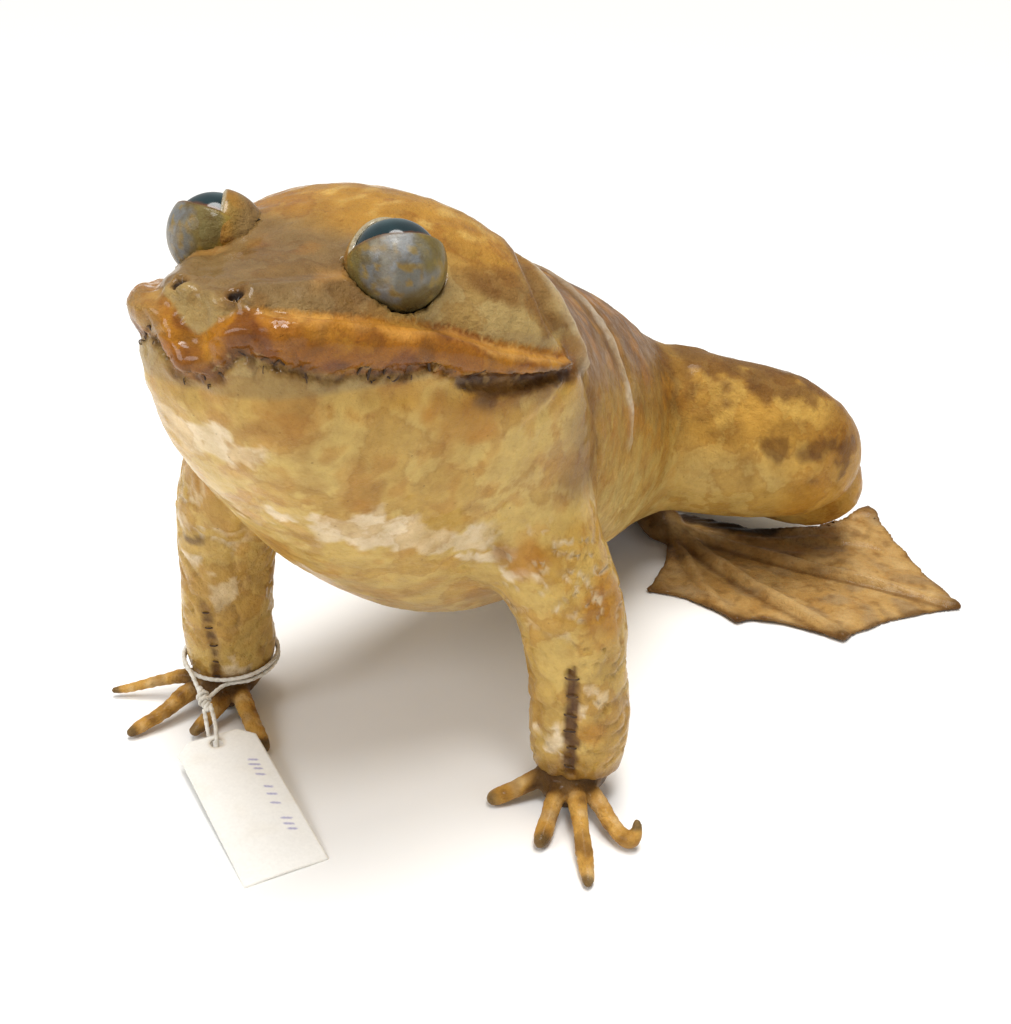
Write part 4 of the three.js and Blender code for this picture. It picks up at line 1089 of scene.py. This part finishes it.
def hand_field(arm, fingers, palm):
    wrist = arm[-1]
    stub = np.array(((wrist[0], wrist[1], 13, 8.4, 8.0), (wrist[0], wrist[1], 9, 8.0, 7.6),
                     (palm[0], palm[1] - 1, 6.6, 6.9, 6.2), (palm[0], palm[1] - 2, 4.6, 5.8, 5.2)))

    def field(p):
        f = swept_field(p, stub, up=(0, -1, 0), blend=1.0)
        for finger in fingers:
            rod = [(x, y, z, FINGER_SLIM * r, FINGER_SLIM * r * 0.92) for x, y, z, r in finger]
            f = smooth_min(f, swept_field(p, rod, blend=0.5), 1.1)
        return smooth_max(f, 0.02 - p[:, 2], 0.25)

    return field


NAIL = (0.10, 0.070, 0.035)
FINGER_AMBER = (0.52, 0.29, 0.065)
FINGER_PALE = (0.62, 0.41, 0.17)
FINGER_BROWN = (0.15, 0.065, 0.014)


def make_hand(name, arm, fingers, palm):
    field = hand_field(arm, fingers, palm)
    low = np.array((min(f[:, 0].min() for f in map(np.array, fingers)) - 4,
                    min(f[:, 1].min() for f in map(np.array, fingers)) - 4, -1))
    high = np.array((max(f[:, 0].max() for f in map(np.array, fingers)) + 4, palm[1] + 14, 16))
    low = np.minimum(low, (palm[0] - 14, 0, 0))
    high = np.maximum(high, (palm[0] + 14, -200, 0))
    hand = piece(f"{name}_hand_skin", *surface_net(field, low, high, 0.55))
    p = settled(millimetres(hand), field, 2)
    place_vertices(hand, p)
    p = p + normals(hand) * (roughened(p, 2.2, 0.16) + roughened(p, 0.9, 0.08, 4))[:, None]
    p[:, 2] = np.maximum(p[:, 2], 0.02)
    place_vertices(hand, p)
    tone = roughened(p, 3.5, 1.0, 3)
    c = mix(np.tile(np.array(FINGER_AMBER), (len(p), 1)), FINGER_PALE, smooth_step(0.0, 0.5, tone))
    c = mix(c, FINGER_BROWN, 0.6 * smooth_step(0.1, 0.5, -tone))
    centre = np.linalg.norm((p - (palm[0], palm[1] - 1, 6)) / (1, 1, 1.4), axis=1)
    c = mix(c, FINGER_BROWN, 0.75 * smooth_step(11.5, 8, centre + tone))
    c = mix(c, BLACK_BROWN, 0.6 * smooth_step(9.4, 7.2, centre + 2.5 * tone))
    for finger in fingers:
        tip = np.linalg.norm(p - np.array(finger[-1][:3]), axis=1)
        c = mix(c, NAIL, 0.8 * smooth_step(2.6, 1.2, tip + 0.6 * tone))
        joint = np.linalg.norm(p - np.array(finger[-3][:3]), axis=1)
        c = mix(c, FINGER_BROWN, 0.35 * smooth_step(3.0, 1.6, joint))
    paint(hand, c)
    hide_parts(f"{name}_hand")
    dress(hand, FOOT_SKIN)


# ---- feet ----
TOE_ROOT = np.array((17.0, 82.0))
TOES = np.array(((29.5, 41), (58, 36.4), (87.5, 42), (113.2, 77.5), (75, 120)), float)
TOE_HEIGHT = (1.4, 1.3, 2.7, 2.6, 0.0)
TOE_WIDTH = (2.2, 2.0, 2.7, 2.8, 2.2)
WEB_DIPS = (0.82, 0.84, 0.92, 1.02)         # how far out the web reaches between neighbouring toes
WEB_THICKNESS = 0.85
WEB_STRETCH = np.array((1, 1, 2.2))         # the web is meshed taller than it is, for finer steps
CORNER_LIFT = 6.0                           # height of the innermost toe's tip above the floor
WEB_SIDE = ((12, 86), (18, 80.5), (23.6, 71.5), (26.8, 61.5), (28, 52), (28.2, 41.5))
WEB_BACK = ((70.5, 110.5), (62, 103.5), (48, 97), (34, 95), (21, 94))
TARSUS = (
    (15, 105.5, 10.5, 6.6, 7.4), (11.5, 106, 9.5, 6.4, 7.4), (7.5, 102, 8, 6.8, 7.8),
    (8, 95, 6.5, 6.4, 6.3), (13, 86, 5, 6.8, 5), (21, 77, 3.2, 6.4, 3.4),
)


def web_outline():
    """The web's edge in plan: straight sides, and a sagging edge between neighbouring toes."""
    edge = list(np.array(WEB_SIDE, float))
    for a, b, reach in zip(TOES[:-1], TOES[1:], WEB_DIPS):
        dip = TOE_ROOT + reach * (0.5 * (a + b) - TOE_ROOT)
        for t in np.linspace(0, 1, 13):
            point = (1 - t) ** 2 * a + 2 * t * (1 - t) * dip + t * t * b
            edge.append(point + 0.25 * np.array((math.sin(0.9 * point[0]), math.cos(0.8 * point[1]))) * (0 < t < 1))
    return np.array(edge + list(np.array(WEB_BACK, float)))


def polygon_distance(q, corners):
    best = np.full(len(q), 1e9)
    inside = np.zeros(len(q), bool)
    for a, b in zip(corners, np.roll(corners, -1, axis=0)):
        course = b - a
        t = np.clip((q - a) @ course / (course @ course + 1e-12), 0, 1)
        d = q - a - t[:, None] * course
        best = np.minimum(best, (d * d).sum(1))
        crosses = (a[1] > q[:, 1]) != (b[1] > q[:, 1])
        with np.errstate(divide="ignore", invalid="ignore"):
            at = a[0] + (q[:, 1] - a[1]) * course[0] / course[1]
        inside ^= crosses & (q[:, 0] < at)
    return np.where(inside, -1, 1) * np.sqrt(best)


def toe_line(q, toe):
    """Share of the way along a toe and signed distance to its side, in plan."""
    course = TOES[toe] - TOE_ROOT
    length = np.linalg.norm(course)
    course = course / length
    d = q - TOE_ROOT
    return d @ course / length, d @ np.array((-course[1], course[0]))


def web_heights(q):
    """Underside and top of the web in plan."""
    out = np.linalg.norm(q - TOE_ROOT, axis=1) / 90
    angle = np.arctan2(q[:, 1] - TOE_ROOT[1], q[:, 0] - TOE_ROOT[0])
    lift = 0.25 + 0.7 * out * np.sin(2.6 * angle + 0.4) ** 2 + 0.5 * np.maximum(0, 0.4 - out)
    along_last, beside_last = toe_line(q, len(TOES) - 1)
    lift = lift + CORNER_LIFT * smooth_step(0.4, 1.0, along_last) * np.exp(-(beside_last / 15) ** 2)
    pleats = 0.28 * np.sin(31 * angle + 2.5 * np.sin(7 * out)) * smooth_step(0.05, 0.3, out)
    pleats += 0.16 * np.sin(57 * angle + 3 * np.sin(5 * out + 1)) * smooth_step(0.1, 0.5, out)
    top = lift + 1.15 + pleats + 1.0 * np.exp(-(out / 0.25) ** 2)
    for toe, (high, wide) in enumerate(zip(TOE_HEIGHT, TOE_WIDTH)):
        t, aside = toe_line(q, toe)
        bend = aside - 1.2 * np.sin(5.5 * t + toe)
        here = high * (1 - 0.62 * np.clip(t, 0, 1)) * smooth_step(0.02, 0.15, t) * smooth_step(1.06, 0.97, t)
        knuckle = 1 + 0.22 * np.cos(2 * math.pi * (3 * t - 0.2))
        top = top + here * knuckle * np.exp(-(np.maximum(np.abs(bend) - 0.3, 0) / (0.62 * wide)) ** 2)
        top = top - 0.55 * np.exp(-((bend + 1.45 * wide) / 1.1) ** 2) * smooth_step(0.1, 0.3, t) * (high > 2)
    return lift, np.maximum(top, lift + WEB_THICKNESS)


def foot_field(outline):
    def field(p):
        f = np.full(len(p), 20.0)
        low = p[:, 2] < 12
        q = p[low]
        under, top = web_heights(q[:, :2])
        edge = polygon_distance(q[:, :2], outline)
        thin = smooth_step(-5, 0, edge)
        sheet = smooth_max(q[:, 2] - (top - 0.2 * thin), (under + 0.1 * thin) - q[:, 2], 0.15)
        f[low] = smooth_max(sheet, edge, 0.5)
        f = smooth_min(f, swept_field(p, TARSUS), 3.0)
        return smooth_max(f, 0.02 - p[:, 2], 0.3)

    return field


FOOT_TAN = (0.48, 0.29, 0.098)
FOOT_PALE = (0.58, 0.39, 0.17)
FOOT_BROWN = (0.15, 0.068, 0.015)
FOOT_GREY = (0.36, 0.245, 0.125)


def make_feet():
    outline = web_outline()
    field = foot_field(outline)
    low = np.array((TOE_ROOT[0] - 18, TOES[:, 1].min() - 3, -1))
    high = np.array((TOES[:, 0].max() + 3, TOES[:, 1].max() + 3, 20))
    vertices, quads = surface_net(lambda p: field(p / WEB_STRETCH), low * WEB_STRETCH, high * WEB_STRETCH, 1.0)
    vertices = settled(vertices / WEB_STRETCH, field, 2)
    vertices[:, 2] = np.maximum(vertices[:, 2], 0.02)
    for name, side in (("left", 1), ("right", -1)):
        mirrored = vertices * (side, 1, 1)
        foot = piece(f"{name}_webbed_foot", mirrored, quads if side > 0 else quads[:, ::-1])
        slope = normals(foot)
        rough = roughened(mirrored, 3.5, 0.22) + roughened(mirrored, 1.4, 0.10, 6)
        p = mirrored + slope * rough[:, None]
        p[:, 2] = np.maximum(p[:, 2], 0.02)
        place_vertices(foot, p)
        paint_foot(foot, vertices, outline)
        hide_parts(f"{name}_hind_foot")
        dress(foot, FOOT_SKIN)


HEEL_SHADE = ((26, 92, 3), (34, 93, 2), (42, 95.5, 2), (48, 97, 2))


def paint_foot(foot, p, outline):
    q = p[:, :2]
    tone = roughened(p, 8, 1.0, 41)
    fine = roughened(p, 3, 1.0, 43)
    edge = polygon_distance(q, outline)
    c = mix(np.tile(np.array(FOOT_TAN), (len(p), 1)), FOOT_PALE, 0.7 * smooth_step(0.05, 0.5, tone))
    c = mix(c, FOOT_GREY, 0.7 * smooth_step(0.05, 0.45, -tone))
    c = mix(c, FOOT_BROWN, 0.4 * smooth_step(0.2, 0.5, fine))
    for toe, wide in enumerate(TOE_WIDTH):
        t, aside = toe_line(q, toe)
        bend = aside - 1.2 * np.sin(5.5 * t + toe)
        run = smooth_step(0.05, 0.2, t) * smooth_step(1.02, 0.95, t)
        # Painted highlight: a pale line along each toe's crest.
        c = mix(c, FOOT_PALE, 0.65 * run * np.exp(-((bend - 0.3) / (0.6 * wide)) ** 2))
        # Painted shadow: a brown line in the groove beside each toe, strongest beside the two tall toes.
        share = 0.75 if TOE_HEIGHT[toe] > 2 else 0.3
        c = mix(c, FOOT_BROWN, share * run * np.exp(-((bend + 1.4 * wide) / 1.1) ** 2))
        tip = np.linalg.norm(q - TOES[toe], axis=1)
        c = mix(c, BLACK_BROWN, 0.75 * smooth_step(4.2, 1.6, tip + 1.0 * fine))
        c = mix(c, FOOT_BROWN, 0.5 * smooth_step(9, 4, tip + 2 * fine))
    c = mix(c, FOOT_BROWN, 0.7 * smooth_step(-1.6, -0.3, edge + 0.4 * fine))
    # Painted shadow: the foot's root and heel, under the thigh, are darkened to near black.
    root = np.linalg.norm(p - (12, 92, 5), axis=1)
    c = mix(c, FOOT_BROWN, 0.9 * smooth_step(17, 12, root + 3 * tone))
    c = mix(c, BLACK_BROWN, 0.8 * smooth_step(13, 8, root + 3 * tone))
    c = mix(c, BLACK_BROWN, 0.9 * smooth_step(6.5, 3.5, curve_distance(p, HEEL_SHADE, 8.0) + fine))
    paint(foot, c)


# ---- threads ----
THREAD_RADIUS = 0.42


def tube(points, radius, sides=8, closed_ends=True, twist=0.0, lobes=0.0):
    """A tube along points in millimetres. Lobes give it the section of a two-ply twist."""
    line = np.array(points, float)
    radii = np.broadcast_to(np.asarray(radius, float), (len(line),))
    tangent = np.gradient(line, axis=0)
    tangent /= np.linalg.norm(tangent, axis=1)[:, None]
    across = np.cross(tangent[0], (0.3, 0.2, 1))
    vertices, faces = [], []
    travelled = 0.0
    for k, (at, ahead) in enumerate(zip(line, tangent)):
        across = across - ahead * (across @ ahead)
        across /= np.linalg.norm(across)
        other = np.cross(ahead, across)
        travelled += 0 if k == 0 else np.linalg.norm(at - line[k - 1])
        for j in range(sides):
            angle = 2 * math.pi * j / sides
            r = radii[k] * (1 - lobes * math.sin(angle - twist * travelled) ** 2)
            vertices.append(at + r * (math.cos(angle) * across + math.sin(angle) * other))
    for k in range(len(line) - 1):
        for j in range(sides):
            a, b = k * sides + j, k * sides + (j + 1) % sides
            faces.append((a, b, b + sides, a + sides))
    if closed_ends:
        faces.append(tuple(range(sides))[::-1])
        faces.append(tuple(range(len(vertices) - sides, len(vertices))))
    return np.array(vertices), faces


def joined(parts):
    """Several meshes as one list of vertices and faces."""
    vertices, faces = [], []
    for points, sides in parts:
        start = len(vertices)
        vertices.extend(points)
        faces.extend([tuple(v + start for v in face) for face in sides])
    return np.array(vertices), faces


def on_hide(points, out):
    """Points laid on the finished hide, a given distance above it."""
    p = settled(np.array(points, float), hide_field, 4, 2.0)
    _, slope = value_and_slope(p, hide_field)
    return p + out * slope / np.linalg.norm(slope, axis=1)[:, None]


def stitches(starts, ends, out=0.1, dip=0.55):
    """Threads from hole to hole over the surface, their ends buried, as one line of points each."""
    at = np.linspace(0, 1, 7)[None, :, None]
    straight = (1 - at) * np.array(starts)[:, None] + at * np.array(ends)[:, None]
    line = on_hide(straight.reshape(-1, 3), 0)
    _, slope = value_and_slope(line, hide_field)
    slope /= np.linalg.norm(slope, axis=1)[:, None]
    lift = out + 0.35 * np.sin(math.pi * at) - dip * (np.abs(2 * at - 1) > 0.99)
    lift = np.broadcast_to(lift, (len(starts), 7, 1)).reshape(-1, 1)
    return (line + slope * lift).reshape(-1, 7, 3)


PARTING_STEPS = 46               # steps of the mouth line at the corner without thread


def make_mouth_thread():
    rng = np.random.default_rng(7)
    starts, ends, radii = [], [], []
    parts = []
    for side in both_sides(MOUTH):
        line = along(side, 0.6)
        place = 4
        while place < len(line) - PARTING_STEPS - 4:
            at = line[place]
            ahead = line[place + 1] - at
            starts.append(at + np.array((0, 0, -0.3)))
            ends.append(at + rng.uniform(-0.7, 0.7) * ahead - np.array((0, 0, rng.uniform(0.9, 2.4))))
            radii.append(THREAD_RADIUS * rng.uniform(0.18, 0.32))
            place += int(rng.integers(9, 24))
        sway = np.array([noise.noise_vector(Vector(q) * 0.6) for q in line])
        parts.append(tube(on_hide((line + 0.35 * sway)[:-PARTING_STEPS], -0.35)[1:-1], 0.26))
    parts += [tube(line, r) for line, r in zip(stitches(starts, ends, 0.0), radii)]
    thread = piece("mouth_thread", *joined(parts))
    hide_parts("mouth_seam_thread")
    dress(thread, DARK_THREAD)


def make_seam_thread(name, line, node, spacing, reach, seed):
    rng = np.random.default_rng(seed)
    points = along(line, 0.5)
    places = np.arange(2, len(points) - 2, spacing)
    _, slope = value_and_slope(points[places], hide_field)
    ahead = points[places + 1] - points[places]
    across = np.cross(slope, ahead)
    across /= np.linalg.norm(across, axis=1)[:, None]
    tilt = rng.uniform(-0.3, 0.9, (len(places), 1)) * ahead / np.linalg.norm(ahead, axis=1)[:, None]
    half = reach * rng.uniform(0.7, 1.15, (len(places), 1))
    lines = stitches(points[places] - half * (across - tilt), points[places] + half * (across + tilt))
    thread = piece(name, *joined([tube(line, THREAD_RADIUS * 0.45) for line in lines]))
    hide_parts(node)
    dress(thread, DARK_THREAD)


# ---- the strung tag ----
STRING = 1.0
WRIST = (-45, -60)
LOOP = {"from": 210, "to": -420, "radius": 11.7, "low": 10, "tilt": 0.6, "pitch": 1.4}
KNOT = np.array((-40.2, -76.6, 9.3))
TAG_HOLE = np.array((-30.8, -84.6, 4.6))
TAG_TURN = math.radians(-33)
TAG = {"length": 48, "width": 19, "thickness": 0.5, "hole": 1.5, "inset": 3, "corner": 3.5, "lift": 0.1}
# The lead from the knot: along the tag, up and aside from its hole.
LEAD = (
    (-10.7, 4.0, -2.2), (-6.5, 3.2, -1.6), (-2.6, 2.2, -0.8), (0, 0, 0), (1.5, -2.1, 0.3),
    (0.6, -3.6, 0.5), (-2, -3.4, 0.6), (-4.1, -1.2, 0.5), (-6.4, 1.0, 0.2), (-10.6, 3.0, -0.6),
)


def loop_points():
    points = [KNOT + (-2.1, 0.6, 0.9), (-45.6, -73.8, 11.4)]
    for turn in range(LOOP["from"], LOOP["to"] - 1, -30):
        angle = math.radians(turn)
        points.append((WRIST[0] + LOOP["radius"] * math.cos(angle), WRIST[1] + LOOP["radius"] * math.sin(angle),
                       LOOP["low"] + LOOP["tilt"] * (1 + math.sin(angle))
                       + LOOP["pitch"] * (turn - LOOP["to"]) / 360))
    points.append(KNOT + (0.4, 0.5, 0.2))
    return points


def lead_points():
    course = np.array((math.cos(TAG_TURN), math.sin(TAG_TURN), 0))
    aside_way = np.array((math.sin(TAG_TURN), -math.cos(TAG_TURN), 0))
    return [TAG_HOLE + a * course + s * aside_way + (0, 0, u) for a, u, s in LEAD]


def string_piece(name, points, node):
    line = along(points, 0.35)
    string = piece(name, *tube(line, 0.55 * STRING, 12, twist=1.9, lobes=0.2))
    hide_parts(node)
    dress(string, STRING_COTTON)
    return string


def make_string():
    start, end = KNOT + (-2.2, 1.0, 1.4), KNOT + (1.6, -1.4, -1.2)
    axis = (end - start) / np.linalg.norm(end - start)
    across = np.cross(axis, (0, 0, 1))
    across /= np.linalg.norm(across)
    other = np.cross(axis, across)
    parts = []
    for strand in range(3):
        line = []
        for t in np.linspace(-0.15, 1.15, 60):
            angle = 2 * math.pi * (1.6 * t + strand / 3)
            r = 0.72 - 0.35 * abs(2 * t - 1) ** 3
            line.append(start + t * (end - start) + r * (math.cos(angle) * across + math.sin(angle) * other))
        parts.append(tube(line, 0.52, 10, twist=2.0, lobes=0.15))
    for place in (0.32, 0.62):
        middle = start + place * (end - start)
        ring = [middle + 1.25 * (math.cos(a) * across + math.sin(a) * other) + 0.25 * math.sin(a) * axis
                for a in np.linspace(0, 2 * math.pi * 0.985, 40)]
        parts.append(tube(ring, 0.42, 10))
    knot = piece("string_knot", *joined(parts))
    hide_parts("tag_string_knot")
    dress(knot, STRING_COTTON)
    string_piece("wrist_string", loop_points(), "tag_string_loop")
    string_piece("tag_lead", lead_points(), "tag_string_lead")


def tag_field(q):
    """The card in its own frame: X along it from the hole, Y across, Z through it."""
    x, y, z = q.T
    near, far, half = -TAG["inset"], TAG["length"] - TAG["inset"], TAG["width"] / 2
    cut = (np.abs(y) - x - (half - near - TAG["corner"])) / math.sqrt(2)
    plan = np.maximum.reduce([near - x, x - far, np.abs(y) - half, cut])
    plan = np.maximum(plan, TAG["hole"] - np.hypot(x, y))
    return smooth_max(plan, np.abs(z) - TAG["thickness"] / 2, 0.12)


# Short pen strokes on the card: start and end, along and across.
PEN = (
    ((8.8, 4.8), (9.6, 6.4)), ((10.4, 4.4), (11.3, 6.2)), ((12.2, 4.9), (12.9, 6.3)), ((14.2, 4.7), (15.0, 6.1)),
    ((18.8, 4.9), (19.5, 6.2)), ((21.4, 4.6), (22.1, 6.2)), ((24.4, 4.4), (25.2, 5.9)),
    ((29.8, 4.8), (30.6, 6.5)), ((31.6, 4.6), (32.4, 6.3)), ((33.4, 4.9), (34.1, 6.4)),
)


def make_tag():
    far = TAG["length"] - TAG["inset"]
    drop = TAG_HOLE[2] - TAG["lift"] - TAG["thickness"] / 2
    cell = 0.36
    low = (-TAG["inset"] - 0.5, -TAG["width"] / 2 - 0.5, -0.62)
    high = (far + 0.5, TAG["width"] / 2 + 0.5, 0.62)
    flat, quads = surface_net(tag_field, low, high, cell)
    flat = settled(flat, tag_field, 2, 0.3)
    x, y, z = flat.T
    curl = 0.35 * np.sin(math.pi * np.clip(x / far, 0, 1)) - 0.0035 * y ** 2 * smooth_step(4, 20, x)
    local = np.column_stack([x, y, z + curl])
    tilt = math.asin(drop / far)
    lean = np.array(((math.cos(tilt), 0, math.sin(tilt)), (0, 1, 0), (-math.sin(tilt), 0, math.cos(tilt))))
    spin = np.array(((math.cos(TAG_TURN), -math.sin(TAG_TURN), 0), (math.sin(TAG_TURN), math.cos(TAG_TURN), 0),
                     (0, 0, 1)))
    world = local @ lean.T @ spin.T + TAG_HOLE
    tag = piece("strung_tag", world, quads, "tag")
    c = np.tile(np.array((0.95, 0.94, 0.90)), (len(flat), 1))
    tone = roughened(flat, 7, 1.0, 51)
    c = mix(c, (0.88, 0.84, 0.75), 0.3 * smooth_step(0.1, 0.6, tone))
    rim = np.maximum.reduce([-TAG["inset"] - x, x - far, np.abs(y) - TAG["width"] / 2])
    c = mix(c, (0.78, 0.73, 0.62), 0.4 * smooth_step(-0.6, 0, rim))
    c = mix(c, (0.62, 0.52, 0.38), 0.6 * smooth_step(2.6, 1.5, np.hypot(x, y)))
    for start, end in PEN:
        stroke = curve_distance(flat, ((*start, 0.25), (*end, 0.25)), 1.2, 0.4)
        c = mix(c, (0.17, 0.14, 0.50), 0.6 * smooth_step(0.42, 0.16, stroke) * (z > 0))
    paint(tag, c)
    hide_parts("paper_tag")
    dress(tag, TAG_CARD)


# ---- make everything ----
HIDE_SKIN = skin_material("varnished_hide", coat=0.8, roughness=0.46)
LID_SKIN = skin_material("painted_lid", coat=0.35, roughness=0.4, pore=0.0005, relief=0.35, speckle=0.2)
FOOT_SKIN = skin_material("dried_web", coat=0.2, roughness=0.55, pore=0.0006, relief=0.7, speckle=0.3, stained=0.3)
EYE_GLASS, eye_tree, eye_shader = nodes_of("dark_eye_glass")
eye_tint = add(eye_tree, "ShaderNodeAttribute", attribute_name="tint")
eye_cloud = ramp(eye_tree, noise_of(eye_tree, 0.004, 4), (0.3, grey(0.8)), (0.7, grey(1.25)))
eye_tree.links.new(blend_colours(eye_tree, "MULTIPLY", 1.0, eye_tint.outputs["Color"], eye_cloud),
                   eye_shader.inputs["Base Color"])
eye_shader.inputs["Roughness"].default_value = 0.12
eye_shader.inputs["Specular IOR Level"].default_value = 0.3
eye_shader.inputs["Coat Weight"].default_value = 0.25
eye_shader.inputs["Coat Roughness"].default_value = 0.05
TAG_CARD, card_tree, card_shader = nodes_of("aged_card")
card_tint = add(card_tree, "ShaderNodeAttribute", attribute_name="tint")
card_fibre = ramp(card_tree, noise_of(card_tree, 0.0008, 6), (0.3, grey(0.95)), (0.7, grey(1.03)))
card_tree.links.new(blend_colours(card_tree, "MULTIPLY", 1.0, card_tint.outputs["Color"], card_fibre),
                    card_shader.inputs["Base Color"])
card_shader.inputs["Roughness"].default_value = 0.85
bump(card_tree, card_shader, noise_of(card_tree, 0.0004, 4), 0.2, 0.00005)
DARK_THREAD = mottled_material("dark_thread", (0.02, 0.010, 0.005), (0.06, 0.030, 0.012), (0.14, 0.075, 0.03),
                               0.002, 0.75)
STRING_COTTON = mottled_material("cotton_string", (0.55, 0.50, 0.42), (0.72, 0.68, 0.60), (0.84, 0.81, 0.74),
                                 0.0015, 0.9)
INNER = {
    "filling": mottled_material("tow", (0.26, 0.19, 0.09), (0.42, 0.33, 0.17), (0.6, 0.5, 0.3), 0.002, 0.95,
                                relief=0.8, stretch=(1, 4, 1)),
    "wire": mottled_material("annealed_wire", (0.10, 0.08, 0.06), (0.25, 0.23, 0.21), (0.4, 0.37, 0.34), 0.003,
                             0.45, metallic=0.9),
    "bone": mottled_material("dry_bone", (0.55, 0.45, 0.28), (0.70, 0.62, 0.44), (0.8, 0.74, 0.58), 0.004, 0.7),
    "core": mottled_material("core_pine", (0.36, 0.22, 0.09), (0.52, 0.35, 0.16), (0.65, 0.47, 0.24), 0.003, 0.75,
                             stretch=(6, 1, 6)),
    "putty": mottled_material("old_putty", (0.5, 0.46, 0.36), (0.66, 0.62, 0.5), (0.78, 0.74, 0.62), 0.002, 0.85),
}


def dress_inner_nodes():
    words = {"filling": "filling", "wire": "wire", "skull": "bone", "jaw_bone": "bone", "core": "core",
             "putty": "putty"}
    for name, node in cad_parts.items():
        for word, kind in words.items():
            if word in name:
                dress(node, INNER[kind])


hide = make_hide()
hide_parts("head_and_trunk_skin", *(f"{side}_{limb}_skin" for side in ("left", "right")
                                           for limb in ("arm", "thigh", "shank")))
dress(hide, HIDE_SKIN)
make_eyes()
make_hand("left", LEFT_ARM, FINGERS, PALM)
make_hand("right", RIGHT_ARM, RIGHT_FINGERS, (-45, -63, 0))
make_feet()
make_mouth_thread()
make_seam_thread("belly_stitches", BELLY_SEAM, "belly_seam_thread", 8, 1.5, 11)
for seed, (side_name, seam) in enumerate(ARM_SEAMS.items()):
    make_seam_thread(f"{side_name}_arm_stitches", seam, f"{side_name}_arm_seam_thread", 9, 0.9, 13 + seed)
make_string()
make_tag()
dress_inner_nodes()
